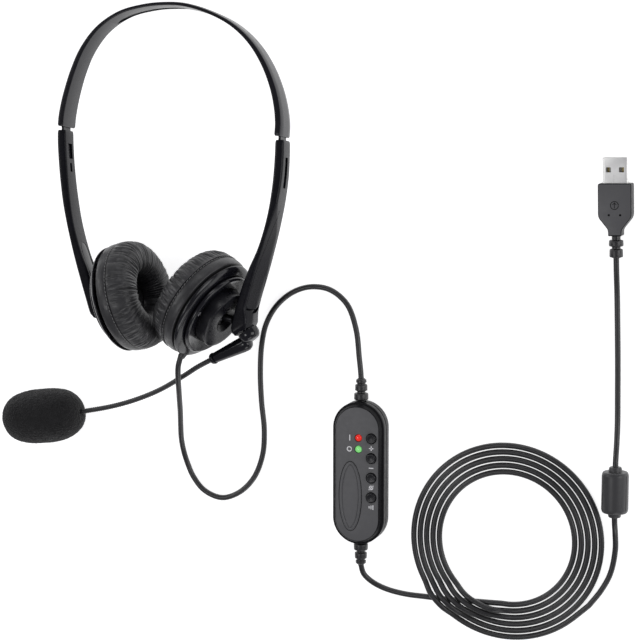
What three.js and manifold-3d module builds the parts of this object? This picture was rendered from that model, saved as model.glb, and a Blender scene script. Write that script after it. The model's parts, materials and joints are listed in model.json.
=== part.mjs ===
// Office headset: two ear cups on a sprung band, a microphone boom, an inline
// controller and a USB cable, all lying on a table.  Millimetres, +Z up.
// The headset is built in a frame of its own (x across the band, y to its top,
// z out of its plane) and then leant over so that band and cups touch the table.

import * as THREE from 'three';
import { mergeVertices } from 'three/addons/utils/BufferGeometryUtils.js';
import Module from 'manifold-3d';

const wasm = await Module();
wasm.setup();

const DEG = Math.PI / 180;
const GAP = 0.3;                     // clearance between neighbouring pieces
const ROUND = 28;                    // sides of a turned piece

// The part's origin is under the middle of everything but the loose cables.
const ORIGIN_SHIFT = [64.49, -23.593, 0];

// Headset frame on the table
const HEADSET_AT = [-73.14, 155.87, 7.8];
const HEADSET_YAW = 2.6 * DEG;
const HEADSET_LEAN = 8.1 * DEG;

// Band and its adjusting strips
const BAND_WIDTH = 14;
const BAND_THICK = 2;
const BAND_END_WIDTH = 15;
const BAND_END_THICK = 3.4;
const SLIDE_LEAN = 3.56 * DEG;       // the strips lean out towards the top
const STRIP_WIDTH = 8;
const STRIP_THICK = 1.2;
const STRIP_LENGTH = 40;
const STRIP_TOP = { right: [58.0, -60.6], left: [58.8, -52.4] };    // upper end of a strip's centre line
const STRIP_SLOT = [STRIP_WIDTH + 2 * GAP, STRIP_THICK + 2 * GAP];

// Arms
const ARM_TOP = { right: -69.0, left: -60.8 };
const ARM_WIDTH = 13;
const ARM_TOP_WIDTH = 11;
const OUTER_SLOT = { below: 15.9, length: 15, width: 3.4 };
const INNER_WINDOW = { below: 10.4, length: 7.6, width: 5 };
const INNER_NOTCH = { below: 18.6, length: 4.4, width: 2.2 };
const COVER_THICK = 1.3;
const INLAY_THICK = 1.0;
const COVER_WIDTH = 9;
const INLAY_WIDTH = 7;

// Ear cup stack, as heights along the cup's axis from the ball joint's centre
const CUP_RADIUS = 27;
const SHELL_RADIUS = 26.5;
const DISC_RADIUS = 21.7;
const HUB_RADIUS = { right: 15, left: 10.5 };
const HUB_TOP = { right: 6, left: 4.2 };
const RING_FRONT = -11.2;
const RING_BACK = -5.4;
const CUSHION_BACK = RING_FRONT - GAP;
const CUSHION_THICK = 9.3;
const EAR_HOLE_RADIUS = 9.3;
const DRIVER_RADIUS = 12.1;
const BAFFLE_RADIUS = 19.9;
const BAFFLE_BACK = -8.9;
const BAFFLE_FRONT = -10.4;
const SCREW_AT = [17.9, 1.3];
const GLAND_HEIGHT = -4.2;
const GLAND_RADIUS = 2.1;
const GLAND_START = 22.2;

// Ball joints between arms and cups
const BALL_RADIUS = 3.6;
const LINER_INNER = 3.9;
const LINER_OUTER = 4.9;
const SOCKET_RADIUS = 5.2;
const MOUTH_ANGLE = 48 * DEG;
const NECK_RADIUS = 1.7;
const BALL = { right: [23.7, -153.9], left: [-31.6, -146.6] };
const STUD_LENGTH = { right: 10.4, left: 7.2 };
const ARM_END_SLOPE = { right: 16.3 * DEG, left: 17 * DEG };
const CUP_TILT = { right: 18 * DEG, left: 5.6 * DEG };
const CUP_TWIST = { right: 7.6 * DEG, left: -5.9 * DEG };

// Boom
const BOOM_PIVOT = [39.0, -162.1, -1.5];
const BOOM_AXIS_ANGLE = -55.7 * DEG;
const BOOM_BOSS_RADIUS = 5.5;
const BOOM_TUBE_RADIUS = 1.35;
const BOOM_BOSS_LENGTH = 6.4;
const BOOM_ROOT = [40.2, -167.0, -2.4];
const BOOM_NOSE = [20.6, -175.2, -5.4];
const BOOM_PIN_RADIUS = 1.8;
const BOOM_PIN_HALF = 5;
const COLLAR_LENGTH = 2.4;
const FOAM_AT = [-81.1, -205.7, -22.6];
const FOAM_RADIUS = 14.2;
const FOAM_HALF = 21.9;
const FOAM_BLUNTNESS = 2.6;          // 2 is an ellipsoid, more is blunter
const CAPSULE_HALF = 4.6;
const CAPSULE_RADIUS = 4.8;

// Controller
const BOX_AT = [24.3, -74.7];
const BOX_WIDTH = 26.6;
const BOX_LENGTH = 72;
const BOX_HEIGHT = 12;
const BOX_SPLIT = 5.6;
const BOX_WALL = 1.5;
const BUTTON_RADIUS = 2.5;
const BUTTON_X = 7.4;
const BUTTON_TOP_Y = 18.4;
const BUTTON_PITCH = 9.9;
const BUTTON_RISE = 1.1;
const LED_RADIUS = 1.7;
const LED_RED = [0.7, 18.4];
const LED_GREEN = [0.7, 12.7];
const TRIM_AT = [-3.4, -11.2];
const TRIM_SIZE = [11.5, 35];
const TRIM_WALL = 1.6;
const RELIEF_START = { inlet: -40.6, outlet: -108.8 };
const RELIEF_HEIGHT = 5;
const RELIEF_LENGTH = 13.2;

// Cables
const CORD_RADIUS = 1.4;
const COIL_AT = [99, -104.7];
const COIL_INNER = 33.0;
const COIL_OUTER = 51.0;
const COIL_HEIGHT = 4.4;
const BEAD_AT = [152.5, -75.9, 6.5];
const BEAD_RADIUS = 6.5;
const BEAD_LENGTH = 20;
const BEAD_COLLAR = [3.3, 2.3];      // radius, length

// USB plug
const PLUG_FOOT = [150.5, 37.0, 4.0];
const PLUG_YAW = 1.4 * DEG;
const PLUG_GRIP_END = 35.5;
const PLUG_GRIP_THICK = 7.9;
const PLUG_TIP = 47.7;
const PLUG_SHELL = [12, 4.5];
const PLUG_SHELL_WALL = 0.5;
const PLUG_SHELL_DEPTH = 7;          // how far the shell runs inside the grip

// ---------------------------------------------------------------- solids

function solidOf(source) {
  const bare = source.clone();
  bare.deleteAttribute('normal');
  bare.deleteAttribute('uv');
  const merged = mergeVertices(bare, 1e-4);
  const index = merged.index.array;
  const place = merged.attributes.position.array;
  const corner = (i) => new THREE.Vector3(place[3 * i], place[3 * i + 1], place[3 * i + 2]);
  const triangles = [];
  let volume = 0;
  for (let i = 0; i < index.length; i += 3) {
    const [a, b, c] = [index[i], index[i + 1], index[i + 2]];
    if (a === b || b === c || a === c) continue;
    triangles.push([a, b, c]);
    volume += corner(a).dot(corner(b).cross(corner(c)));
  }
  const turned = volume < 0 ? triangles.map(([a, b, c]) => [a, c, b]) : triangles;
  return new wasm.Manifold(new wasm.Mesh({
    numProp: 3,
    vertProperties: new Float32Array(place),
    triVerts: new Uint32Array(turned.flat()),
  }));
}

function geometryOf(solid) {
  const mesh = solid.getMesh();
  const geometry = new THREE.BufferGeometry();
  geometry.setAttribute('position', new THREE.BufferAttribute(mesh.vertProperties, 3));
  geometry.setIndex(new THREE.BufferAttribute(mesh.triVerts, 1));
  geometry.computeVertexNormals();
  return geometry;
}

// A turned piece about +Z from [radius, height] points; closes on itself or on the axis.
function turned(points, sides = ROUND) {
  const onAxis = points[0][0] === 0 && points[points.length - 1][0] === 0;
  const ring = onAxis ? points : [...points, points[0]];
  const profile = ring.map(([r, h]) => new THREE.Vector2(r, h));
  return solidOf(new THREE.LatheGeometry(profile, sides).rotateX(Math.PI / 2));
}

function rod(radius, low, high, sides = ROUND) {
  return turned([[0, low], [radius, low], [radius, high], [0, high]], sides);
}

function block(width, depth, height, at = [0, 0, 0]) {
  return solidOf(new THREE.BoxGeometry(width, depth, height).translate(...at));
}

function turnedGeometryAlong(geometry, direction, at) {
  const aim = new THREE.Quaternion().setFromUnitVectors(
    new THREE.Vector3(0, 0, 1), new THREE.Vector3(...direction).normalize());
  return geometry.applyQuaternion(aim).translate(...at);
}

// A straight round bar between two points, with its own radius at each end.
function bar(from, to, radiusFrom, radiusTo, sides = 16) {
  const start = new THREE.Vector3(...from);
  const span = new THREE.Vector3(...to).sub(start);
  const length = span.length();
  const geometry = new THREE.CylinderGeometry(radiusTo, radiusFrom, length, sides)
    .rotateX(Math.PI / 2)
    .translate(0, 0, length / 2);
  return solidOf(turnedGeometryAlong(geometry, span.toArray(), from));
}

// A round tube of solid section along a smooth curve through the points.
function cordAlong(points, radius, steps, sides = 8) {
  const route = new THREE.CatmullRomCurve3(points.map((p) => new THREE.Vector3(...p)), false, 'centripetal');
  const section = new THREE.Shape();
  for (let i = 0; i < sides; i += 1) {
    const angle = (i + 0.5) * 2 * Math.PI / sides;
    const corner = [radius * Math.cos(angle), radius * Math.sin(angle)];
    if (i === 0) section.moveTo(...corner);
    else section.lineTo(...corner);
  }
  section.closePath();
  return solidOf(new THREE.ExtrudeGeometry(section, { steps, extrudePath: route }));
}

function outline(points) {
  return new THREE.Shape(points.map(([x, y]) => new THREE.Vector2(x, y)));
}

function smooth(points, count) {
  return new THREE.SplineCurve(points.map(([x, y]) => new THREE.Vector2(x, y)))
    .getPoints(count).map((p) => [p.x, p.y]);
}

// An outline in x and y, as thick as asked and centred on z = 0.
function plate(points, thickness) {
  const options = { depth: thickness, bevelEnabled: false, steps: 1 };
  const geometry = new THREE.ExtrudeGeometry(outline(points), options);
  return solidOf(geometry.translate(0, 0, -thickness / 2));
}

// A slab with round ends along y, from z = low to z = high.
function stadium(width, length, low, high, sides = 12) {
  const radius = width / 2;
  const reach = length / 2 - radius;
  const points = [];
  for (let i = 0; i <= sides; i += 1) {
    const angle = i * Math.PI / sides;
    points.push([radius * Math.cos(angle), reach + radius * Math.sin(angle)]);
  }
  for (let i = 0; i <= sides; i += 1) {
    const angle = Math.PI + i * Math.PI / sides;
    points.push([radius * Math.cos(angle), -reach + radius * Math.sin(angle)]);
  }
  return plate(points, high - low).translate([0, 0, (low + high) / 2]);
}

// An elliptical slab, its long axis along y, from z = low to z = high.
function oval(width, length, low, high, sides = 40) {
  const ellipse = new THREE.EllipseCurve(0, 0, width / 2, length / 2);
  const points = ellipse.getPoints(sides).slice(0, -1).map((p) => [p.x, p.y]);
  return plate(points, high - low).translate([0, 0, (low + high) / 2]);
}

// ------------------------------------------------------------- materials

function look(color, roughness, metalness = 0) {
  return () => new THREE.MeshStandardMaterial({ color, roughness, metalness });
}

const LOOKS = {
  satin: look(0x1c1c20, 0.42),
  gloss: look(0x131317, 0.2),
  leatherette: look(0x2a2a2c, 0.55),
  foam: look(0x0f0f10, 0.95),
  rubber: look(0x161617, 0.6),
  liner: look(0x2a2a2c, 0.5),
  steel: look(0xb8b9bb, 0.3, 1),
  nickel: look(0xd2d3d4, 0.25, 1),
  board: look(0x14532b, 0.6),
  red: look(0xd01818, 0.3),
  green: look(0x22c022, 0.3),
  mesh: look(0x0c0c0d, 0.9),
};

function add(group, name, solid, kind) {
  const mesh = new THREE.Mesh(geometryOf(solid), LOOKS[kind]());
  mesh.name = name;
  group.add(mesh);
}

// ------------------------------------------------------- headset: the band

const SIGN = { right: 1, left: -1 };
const mirrored = (points, side) => points.map(([x, ...rest]) => [SIGN[side] * x, ...rest]);
const slideAxis = (side) => [SIGN[side] * Math.sin(SLIDE_LEAN), Math.cos(SLIDE_LEAN)];

// A block lying along a strip's line: its centre is this far below the strip's top.
function alongStrip(side, width, thick, length, below) {
  const [ax, ay] = slideAxis(side);
  const [topX, topY] = STRIP_TOP[side];
  const centre = [SIGN[side] * topX - ax * below, topY - ay * below];
  const geometry = new THREE.BoxGeometry(thick, length, width)
    .rotateZ(-SIGN[side] * SLIDE_LEAN)
    .translate(centre[0], centre[1], 0);
  return solidOf(geometry);
}

// The band's centre line, which the spring has pulled a little to the left
const BAND_ROUTE = [
  [-58.4, -56.5], [-57.6, -51.5], [-55.7, -43.2], [-51.9, -31.3], [-46.6, -20.2], [-38.2, -10.2], [-26.5, -3.2],
  [-14.0, -0.4], [-3.0, 0.2], [8.0, -0.8], [21.5, -5.2], [33.5, -11.8], [42.8, -20.4], [50.0, -31.3],
  [54.9, -43.2], [57.2, -53.0], [58.0, -62.0],
];

function headband() {
  const centreLine = BAND_ROUTE.map(([x, y]) => new THREE.Vector3(x, y, 0));
  const path = new THREE.CatmullRomCurve3(centreLine, false, 'centripetal');
  const [w, t, edge] = [BAND_WIDTH / 2, BAND_THICK / 2, 0.5];
  const section = outline([
    [-w + edge, -t], [w - edge, -t], [w, -t + edge], [w, t - edge],
    [w - edge, t], [-w + edge, t], [-w, t - edge], [-w, -t + edge],
  ]);
  let band = solidOf(new THREE.ExtrudeGeometry(section, { steps: 44, extrudePath: path }));
  for (const side of ['left', 'right']) {
    band = band.add(alongStrip(side, BAND_END_WIDTH, BAND_END_THICK, 9, 2.1));
    band = band.subtract(alongStrip(side, ...STRIP_SLOT, 12, 6 - GAP));
  }
  return band;
}

function strip(side) {
  return alongStrip(side, STRIP_WIDTH, STRIP_THICK, STRIP_LENGTH, STRIP_LENGTH / 2);
}

// ------------------------------------------------------- headset: the arms

const ARM_OUTER = [
  [59.2, -87], [57.6, -97.5], [55.5, -107.5], [53.1, -117.5], [50.4, -127.5], [47.4, -137.5], [44.9, -145.5],
];
const ARM_LINES = {
  right: {
    top: [[60.0, ARM_TOP.right], [59.9, -76]],
    tail: [[43.3, -152], [43.0, -159.3], [34.5, -165.1]],
    inner: [[32.7, -162.6], [34.7, -153.7], [38.1, -142.2], [42.4, -131.4], [47.0, -121.5],
      [51.4, -107.3], [54.0, -92.2], [55.2, -77.6], [55.5, ARM_TOP.right]],
  },
  left: {
    top: [[61.0, ARM_TOP.left], [60.9, -68], [60.3, -77]],
    tail: [[43.0, -151.5], [41.2, -155.2], [38.6, -156.2]],
    inner: [[37.4, -154.6], [38.7, -149.1], [40.7, -142.2], [43.8, -131.4], [47.6, -121.5],
      [51.6, -107.3], [54.1, -92.2], [55.6, -77.6], [56.2, -68], [56.4, ARM_TOP.left]],
  },
};

function armOutline(side) {
  const { top, tail, inner } = ARM_LINES[side];
  return mirrored([...smooth([...top, ...ARM_OUTER], 15), ...tail, ...smooth(inner, 15)], side);
}

// A thin plate that follows a line in the headset's plane, between two offsets from it.
function skin(line, inset, thick, width, side) {
  const near = [];
  const far = [];
  line.forEach(([x, y], i) => {
    const [x0, y0] = line[Math.max(i - 1, 0)];
    const [x1, y1] = line[Math.min(i + 1, line.length - 1)];
    const length = Math.hypot(x1 - x0, y1 - y0);
    const normal = [(y1 - y0) / length, -(x1 - x0) / length];
    near.push([x + normal[0] * inset, y + normal[1] * inset]);
    far.push([x + normal[0] * (inset + thick), y + normal[1] * (inset + thick)]);
  });
  return plate(mirrored([...near, ...far.reverse()], side), width);
}

const COVER_LINE = [[56.3, -104], [53.1, -117.5], [50.4, -127.5], [47.4, -137.5], [44.9, -145.5], [43.5, -151]];
const INLAY_LINE = [[49.0, -117.2], [46.2, -125.4], [43.0, -133.5], [40.7, -142.2]];

// The skin's normal points to the inside of the arm when its line runs down the outer face.
function armCover(side, grow = 0) {
  return skin(COVER_LINE, -grow * 2, COVER_THICK + 3 * grow, COVER_WIDTH + 2 * grow, side);
}

// An arm seen from its side: full width at the cup, narrower towards the band.
function armSideView() {
  const [low, high] = [ARM_WIDTH / 2, ARM_TOP_WIDTH / 2];
  const front = plate([
    [-low, -170], [low, -170], [low, -112], [high, -72], [high, -55], [-high, -55], [-high, -72], [-low, -112],
  ], 140);
  return solidOf(geometryOf(front).rotateY(Math.PI / 2));
}

// A cut into an arm's outer or inner face, at a distance below the arm's top.
function armCut(side, { below, length, width }, x) {
  return block(5, length, width, [SIGN[side] * x, ARM_TOP[side] - below, 0]);
}

function armShell(side) {
  let arm = plate(armOutline(side), ARM_WIDTH).intersect(armSideView());
  arm = arm.subtract(alongStrip(side, ...STRIP_SLOT, 60, 13));
  arm = arm.subtract(armCut(side, OUTER_SLOT, 60.2));
  arm = arm.subtract(armCut(side, INNER_WINDOW, 54.9));
  arm = arm.subtract(armCut(side, INNER_NOTCH, 54.4));
  if (side === 'left') return arm.subtract(armInlay(GAP));
  return arm.subtract(armCover(side, GAP)).subtract(boomPin(BOOM_PIN_RADIUS + GAP, BOOM_PIN_HALF + 0.5));
}

function armInlay(grow = 0) {
  return skin(INLAY_LINE, INLAY_THICK + grow, -INLAY_THICK - 4 * grow, INLAY_WIDTH + 2 * grow, 'left');
}

// --------------------------------------------------- headset: the ear cups

// Frame at the ball joint: +Z along the arm's end face normal, outwards.
function ballFrame(side) {
  const sign = SIGN[side];
  const slope = ARM_END_SLOPE[side];
  const out = new THREE.Vector3(sign * Math.cos(slope), -Math.sin(slope), 0);
  const up = new THREE.Vector3(0, 0, 1);
  const basis = new THREE.Matrix4().makeBasis(up, new THREE.Vector3().crossVectors(out, up), out);
  const group = new THREE.Group();
  group.quaternion.setFromRotationMatrix(basis);
  group.position.set(BALL[side][0], BALL[side][1], 0);
  return group;
}

function arcPoints(radius, from, to, count) {
  const points = [];
  for (let i = 0; i <= count; i += 1) {
    const angle = from + (to - from) * i / count;
    points.push([radius * Math.sin(angle), radius * Math.cos(angle)]);
  }
  return points;
}

function ballStud(side) {
  const reach = STUD_LENGTH[side] - GAP;
  const neckStart = Math.asin(NECK_RADIUS / BALL_RADIUS);
  return turned([
    [0, -BALL_RADIUS], ...arcPoints(BALL_RADIUS, Math.PI, neckStart, 9).slice(1),
    [NECK_RADIUS, reach - 1.2], [NECK_RADIUS + 1.4, reach], [0, reach],
  ], 20);
}

function ballLiner() {
  return turned([
    [0, -LINER_OUTER], ...arcPoints(LINER_OUTER, Math.PI, MOUTH_ANGLE, 7).slice(1),
    ...arcPoints(LINER_INNER, MOUTH_ANGLE, Math.PI, 7).slice(0, -1), [0, -LINER_INNER],
  ], 20);
}

function hub(side) {
  const [radius, top] = [HUB_RADIUS[side], HUB_TOP[side]];
  const mouth = [SOCKET_RADIUS * Math.sin(MOUTH_ANGLE), SOCKET_RADIUS * Math.cos(MOUTH_ANGLE)];
  const funnel = mouth[0] + (top - mouth[1]) * Math.tan(MOUTH_ANGLE);
  return turned([
    [0, -6.4], [6.5, -6.4], [6.5, -1.2], [radius, -1.2], [radius, top - 0.8], [radius - 0.8, top],
    [funnel, top], ...arcPoints(SOCKET_RADIUS, MOUTH_ANGLE, Math.PI, 7).slice(0, -1), [0, -SOCKET_RADIUS],
  ]);
}

function glandCut() {
  const radius = GLAND_RADIUS + GAP;
  return bar([0, GLAND_START, GLAND_HEIGHT], [0, CUP_RADIUS + 7, GLAND_HEIGHT], radius, radius, 12);
}

function cushion() {
  const [back, hole, thick] = [CUSHION_BACK, EAR_HOLE_RADIUS, CUSHION_THICK];
  return turned([
    [hole + 0.3, back], [CUP_RADIUS - 0.2, back], [CUP_RADIUS + 0.3, back - 0.25 * thick],
    [CUP_RADIUS - 0.6, back - 0.6 * thick], [CUP_RADIUS - 3.4, back - 0.9 * thick],
    [CUP_RADIUS - 7, back - thick], [hole + 7, back - thick], [hole + 3, back - 0.87 * thick],
    [hole + 0.7, back - 0.55 * thick], [hole, back - 0.2 * thick],
  ]);
}

function cushionRing() {
  return turned([
    [20.2, RING_FRONT], [CUP_RADIUS - 0.4, RING_FRONT], [CUP_RADIUS, RING_FRONT + 0.4],
    [CUP_RADIUS, RING_BACK - 0.6], [CUP_RADIUS - 0.6, RING_BACK], [23.8, RING_BACK],
    [23.8, RING_BACK + 1.5], [20.2, RING_BACK + 1.5],
  ]);
}

function backShell() {
  return turned([
    [6.8, -3.0], [22.0, -3.0], [24.4, -3.2], [25.0, -3.6], [SHELL_RADIUS, -3.6],
    [SHELL_RADIUS - 0.5, -2.7], [24.5, -1.9], [22.2, -1.5], [6.8, -1.5],
  ]);
}

function baffle() {
  const hole = DRIVER_RADIUS + GAP;
  return turned([
    [hole, BAFFLE_FRONT], [BAFFLE_RADIUS, BAFFLE_FRONT], [BAFFLE_RADIUS, BAFFLE_BACK], [hole, BAFFLE_BACK],
  ]);
}

// The loudspeaker: a shallow basket with its magnet behind.
function driver() {
  return turned([
    [0, BAFFLE_FRONT], [DRIVER_RADIUS, BAFFLE_FRONT], [DRIVER_RADIUS, BAFFLE_BACK], [8, BAFFLE_BACK],
    [8, -6.7], [0, -6.7],
  ]);
}

function buildCup(side, cup) {
  const hasCord = side === 'right';
  const trimmed = (solid) => (hasCord ? solid.subtract(glandCut()) : solid);
  add(cup, `${side}_cushion`, cushion(), 'leatherette');
  add(cup, `${side}_cushion_ring`, trimmed(cushionRing()), 'leatherette');
  add(cup, `${side}_driver_mesh`, rod(BAFFLE_RADIUS, RING_FRONT, RING_FRONT + 0.5), 'mesh');
  add(cup, `${side}_baffle`, baffle(), 'satin');
  add(cup, `${side}_driver`, driver(), 'steel');
  add(cup, `${side}_back_shell`, trimmed(backShell()), 'gloss');
  const inner = HUB_RADIUS[side] + GAP;
  add(cup, `${side}_back_disc`, turned([
    [inner, -1.2], [DISC_RADIUS - 0.3, -1.2], [DISC_RADIUS, -0.9], [DISC_RADIUS, -0.4],
    [DISC_RADIUS - 0.6, 0], [inner, 0],
  ]), 'gloss');
  add(cup, `${side}_hub`, hub(side), 'satin');
  const screw = turned([[0, GAP], [1.2, GAP], [1.2, GAP + 0.4], [0.8, GAP + 0.7], [0, GAP + 0.7]], 12);
  add(cup, `${side}_cup_screw`, screw.translate([...SCREW_AT, 0]), 'steel');
}

function cordGland() {
  const tip = CUP_RADIUS + 1.5;
  return bar([0, GLAND_START + 0.4, GLAND_HEIGHT], [0, tip, GLAND_HEIGHT], GLAND_RADIUS, 1.7, 12);
}

// ------------------------------------------------------- headset: the boom

const boomAxis = [Math.cos(BOOM_AXIS_ANGLE), Math.sin(BOOM_AXIS_ANGLE), 0];
const fromPivot = (along) => BOOM_PIVOT.map((v, i) => v + boomAxis[i] * along);

function boomPin(radius, reach) {
  return bar(fromPivot(-reach), fromPivot(reach), radius, radius, 16);
}

const BOOM_ROUTE = [
  [18.0, -176.3, -5.9], [9.5, -180.1, -8.6], [1.3, -184.4, -11.6], [-14, -191.8, -16.3], [-29.4, -197.2, -19.6],
  [-43, -200.6, -21.6], [-57, -203.0, -22.4], [-66, -204.4, -22.6],
];

function boomBase() {
  const boss = bar(fromPivot(GAP), fromPivot(BOOM_BOSS_LENGTH), BOOM_BOSS_RADIUS, BOOM_BOSS_RADIUS - 0.8, 20);
  const horn = bar(BOOM_ROOT, BOOM_NOSE, 4.0, 2.6, 16);
  return boss.add(horn).subtract(boomPin(BOOM_PIN_RADIUS + GAP, BOOM_PIN_HALF + 0.5));
}

// The point at a distance from one point towards another.
function beyond(from, to, distance) {
  const start = new THREE.Vector3(...from);
  return start.addScaledVector(new THREE.Vector3(...to).sub(start).normalize(), distance).toArray();
}

function boomCollar() {
  const start = beyond(BOOM_NOSE, BOOM_ROUTE[0], GAP);
  return bar(start, beyond(start, BOOM_ROUTE[0], COLLAR_LENGTH - 2 * GAP), 2.9, 2.5, 16);
}

// A blunt capsule of foam, with a pocket for the capsule and a hole for the boom.
function micFoam() {
  const points = [];
  const steps = 14;
  for (let i = 0; i <= steps; i += 1) {
    const h = -Math.cos(i * Math.PI / steps);
    const r = (1 - Math.abs(h) ** FOAM_BLUNTNESS) ** (1 / FOAM_BLUNTNESS);
    points.push([i === 0 || i === steps ? 0 : FOAM_RADIUS * r, FOAM_HALF * h]);
  }
  const body = turned(points, 24);
  const pocket = rod(CAPSULE_RADIUS + 0.4, -6, 6, 16).add(rod(BOOM_TUBE_RADIUS + 0.5, 0, FOAM_HALF + 2, 12));
  const direction = new THREE.Vector3(...BOOM_ROUTE.at(-1)).sub(new THREE.Vector3(...FOAM_AT));
  return solidOf(turnedGeometryAlong(geometryOf(body.subtract(pocket)), direction.toArray(), FOAM_AT));
}

function micCapsule() {
  const start = BOOM_ROUTE.at(-1);
  const near = beyond(FOAM_AT, start, CAPSULE_HALF);
  const far = beyond(FOAM_AT, start, -CAPSULE_HALF);
  return bar(far, near, CAPSULE_RADIUS, CAPSULE_RADIUS, 16);
}

// ---------------------------------------------------------- the controller

const buttonY = (i) => BUTTON_TOP_Y - i * BUTTON_PITCH;
const BUTTON_NAMES = ['volume_up_button', 'volume_down_button', 'mic_mute_button', 'sound_mute_button'];

function controllerShells(group) {
  const outer = stadium(BOX_WIDTH, BOX_LENGTH, 0, BOX_HEIGHT);
  const inner = stadium(BOX_WIDTH - 2 * BOX_WALL, BOX_LENGTH - 2 * BOX_WALL, BOX_WALL, BOX_HEIGHT - BOX_WALL);
  const shell = outer.subtract(inner);
  const half = (low, high) => shell.intersect(block(80, 120, high - low, [0, 0, (low + high) / 2]));
  let base = half(-1, BOX_SPLIT);
  let cover = half(BOX_SPLIT + GAP, BOX_HEIGHT + 1);
  for (let i = 0; i < BUTTON_NAMES.length; i += 1) {
    cover = cover.subtract(rod(BUTTON_RADIUS + GAP, 8, 14, 20).translate([BUTTON_X, buttonY(i), 0]));
  }
  for (const [x, y] of [LED_RED, LED_GREEN]) {
    cover = cover.subtract(rod(LED_RADIUS + GAP, 8, 14, 16).translate([x, y, 0]));
  }
  const [trimWidth, trimLength] = TRIM_SIZE;
  const bed = oval(trimWidth + 2 * GAP, trimLength + 2 * GAP, BOX_HEIGHT - 0.5, BOX_HEIGHT + 1);
  cover = cover.subtract(bed.translate([...TRIM_AT, 0]));
  const endHole = (from, to) => bar([0, from, RELIEF_HEIGHT], [0, to, RELIEF_HEIGHT], 2.6, 2.6, 16);
  const ends = endHole(40, 30).add(endHole(-40, -30));
  base = base.subtract(ends);
  cover = cover.subtract(ends);
  add(group, 'controller_base', base, 'satin');
  add(group, 'controller_cover', cover, 'satin');
}

function buildController(group) {
  controllerShells(group);
  add(group, 'controller_board', stadium(20, 60, 2.6, 4.2, 6).add(block(10, 8, 1, [0, -20, 4.5])), 'board');
  const [trimWidth, trimLength] = TRIM_SIZE;
  const trim = oval(trimWidth, trimLength, BOX_HEIGHT - 0.2, BOX_HEIGHT + 0.7)
    .subtract(oval(trimWidth - 2 * TRIM_WALL, trimLength - 2 * TRIM_WALL, BOX_HEIGHT - 1, BOX_HEIGHT + 1));
  add(group, 'controller_trim_ring', trim.translate([...TRIM_AT, 0]), 'gloss');
  const led = turned([[0, 6.4], [LED_RADIUS, 6.4], [LED_RADIUS, 11.9], [1.1, 12.5], [0, 12.6]], 16);
  add(group, 'led_red', led.translate([LED_RED[0], LED_RED[1], 0]), 'red');
  add(group, 'led_green', led.translate([LED_GREEN[0], LED_GREEN[1], 0]), 'green');
  BUTTON_NAMES.forEach((name, i) => {
    const top = BOX_HEIGHT + BUTTON_RISE;
    const cap = turned([
      [0, 7.2], [3.1, 7.2], [3.1, 8.4], [BUTTON_RADIUS, 8.4], [BUTTON_RADIUS, top - 0.4],
      [BUTTON_RADIUS - 0.4, top], [0, top],
    ], 20);
    add(group, name, cap.translate([BUTTON_X, buttonY(i), 0]), 'satin');
  });
}

// A tapered strain relief with three rings, from z = 0 outwards along +Z.
const RELIEF_RINGS = [[2.3, 5.9, 3.6], [6.9, 10.2, 3.1], [11.0, 12.7, 2.65]];    // start, end, radius

function ringed(rings, neck, start, length, tip) {
  const points = [[0, start], [neck, start]];
  for (const [low, high, radius] of rings) {
    points.push([neck, low], [radius, low + 0.3], [radius - 0.1, high - 0.3], [neck, high]);
  }
  points.push([tip, length], [0, length]);
  return turned(points, 16);
}

function relief(at, direction) {
  const solid = ringed(RELIEF_RINGS, 2.1, 0, RELIEF_LENGTH, 1.9);
  return solidOf(turnedGeometryAlong(geometryOf(solid), direction, at));
}

// -------------------------------------------------------------- the cables

const HEADSET_CORD = [
  [-62.0, -17.9, 30.6], [-63.2, -22.0, 30.3], [-64.2, -28.0, 28.2], [-65.3, -34.2, 24.7], [-66.7, -40.5, 20.4],
  [-68.4, -48.1, 15.2], [-70.2, -55.7, 10.4], [-71.5, -63.2, 6.4], [-71.5, -70.0, 3.6], [-70.0, -77.0, 2.0],
  [-67.0, -84.0, 1.5], [-61.0, -90.8, 1.5], [-51.5, -94.0, 1.5], [-42.0, -90.6, 1.5], [-34.0, -82.5, 1.5],
  [-29.2, -70.5, 1.5], [-28.2, -57.5, 1.5], [-29.6, -43.0, 1.5], [-30.2, -28.0, 1.5], [-29.4, -13.5, 1.5],
  [-26.8, -2.5, 1.5], [-21.0, 7.0, 1.5], [-12.5, 13.8, 1.5], [-3.0, 16.8, 1.5], [7.0, 15.6, 1.5],
  [15.8, 8.8, 1.8], [20.8, -3.2, 2.8], [23.0, -17.0, 4.4], [23.9, -23.6, 4.9], [24.2, -27.1, 5.0],
];
const CONTROLLER_TO_COIL = [
  [24.35, -122.5, 4.8], [25.4, -127.0, 3.8], [29.5, -131.4, 2.2], [36.5, -134.6, 1.5], [46.5, -136.4, 1.5],
  [57.6, -136.9, 1.5],
];
const COIL_TO_BEAD = [
  [136.4, -142.4, 1.5], [141.4, -137.2, 1.5], [147.4, -127.2, 1.5], [151.0, -115.0, 1.5], [152.3, -104.0, 1.8],
  [152.5, -97.0, 3.8], [152.5, -91.0, 6.1], [152.5, -88.6, 6.5],
];
const BEAD_TO_PLUG = [
  [152.5, -63.2, 6.5], [152.5, -60.4, 6.3], [152.3, -52.0, 3.2], [152.2, -43.0, 1.7], [152.0, -30.0, 1.5],
  [151.7, -12.0, 1.5], [151.2, 6.0, 1.5], [150.8, 20.0, 1.8], [150.6, 30.0, 3.3], [150.5, 36.4, 4.0],
];

function coil() {
  const [a, b, h] = [COIL_INNER, COIL_OUTER, COIL_HEIGHT];
  return turned([[a, 0.1], [b, 0.1], [b, h - 0.6], [b - 0.8, h], [a + 0.8, h], [a, h - 0.6]], 36)
    .translate([COIL_AT[0], COIL_AT[1], 0]);
}

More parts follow.
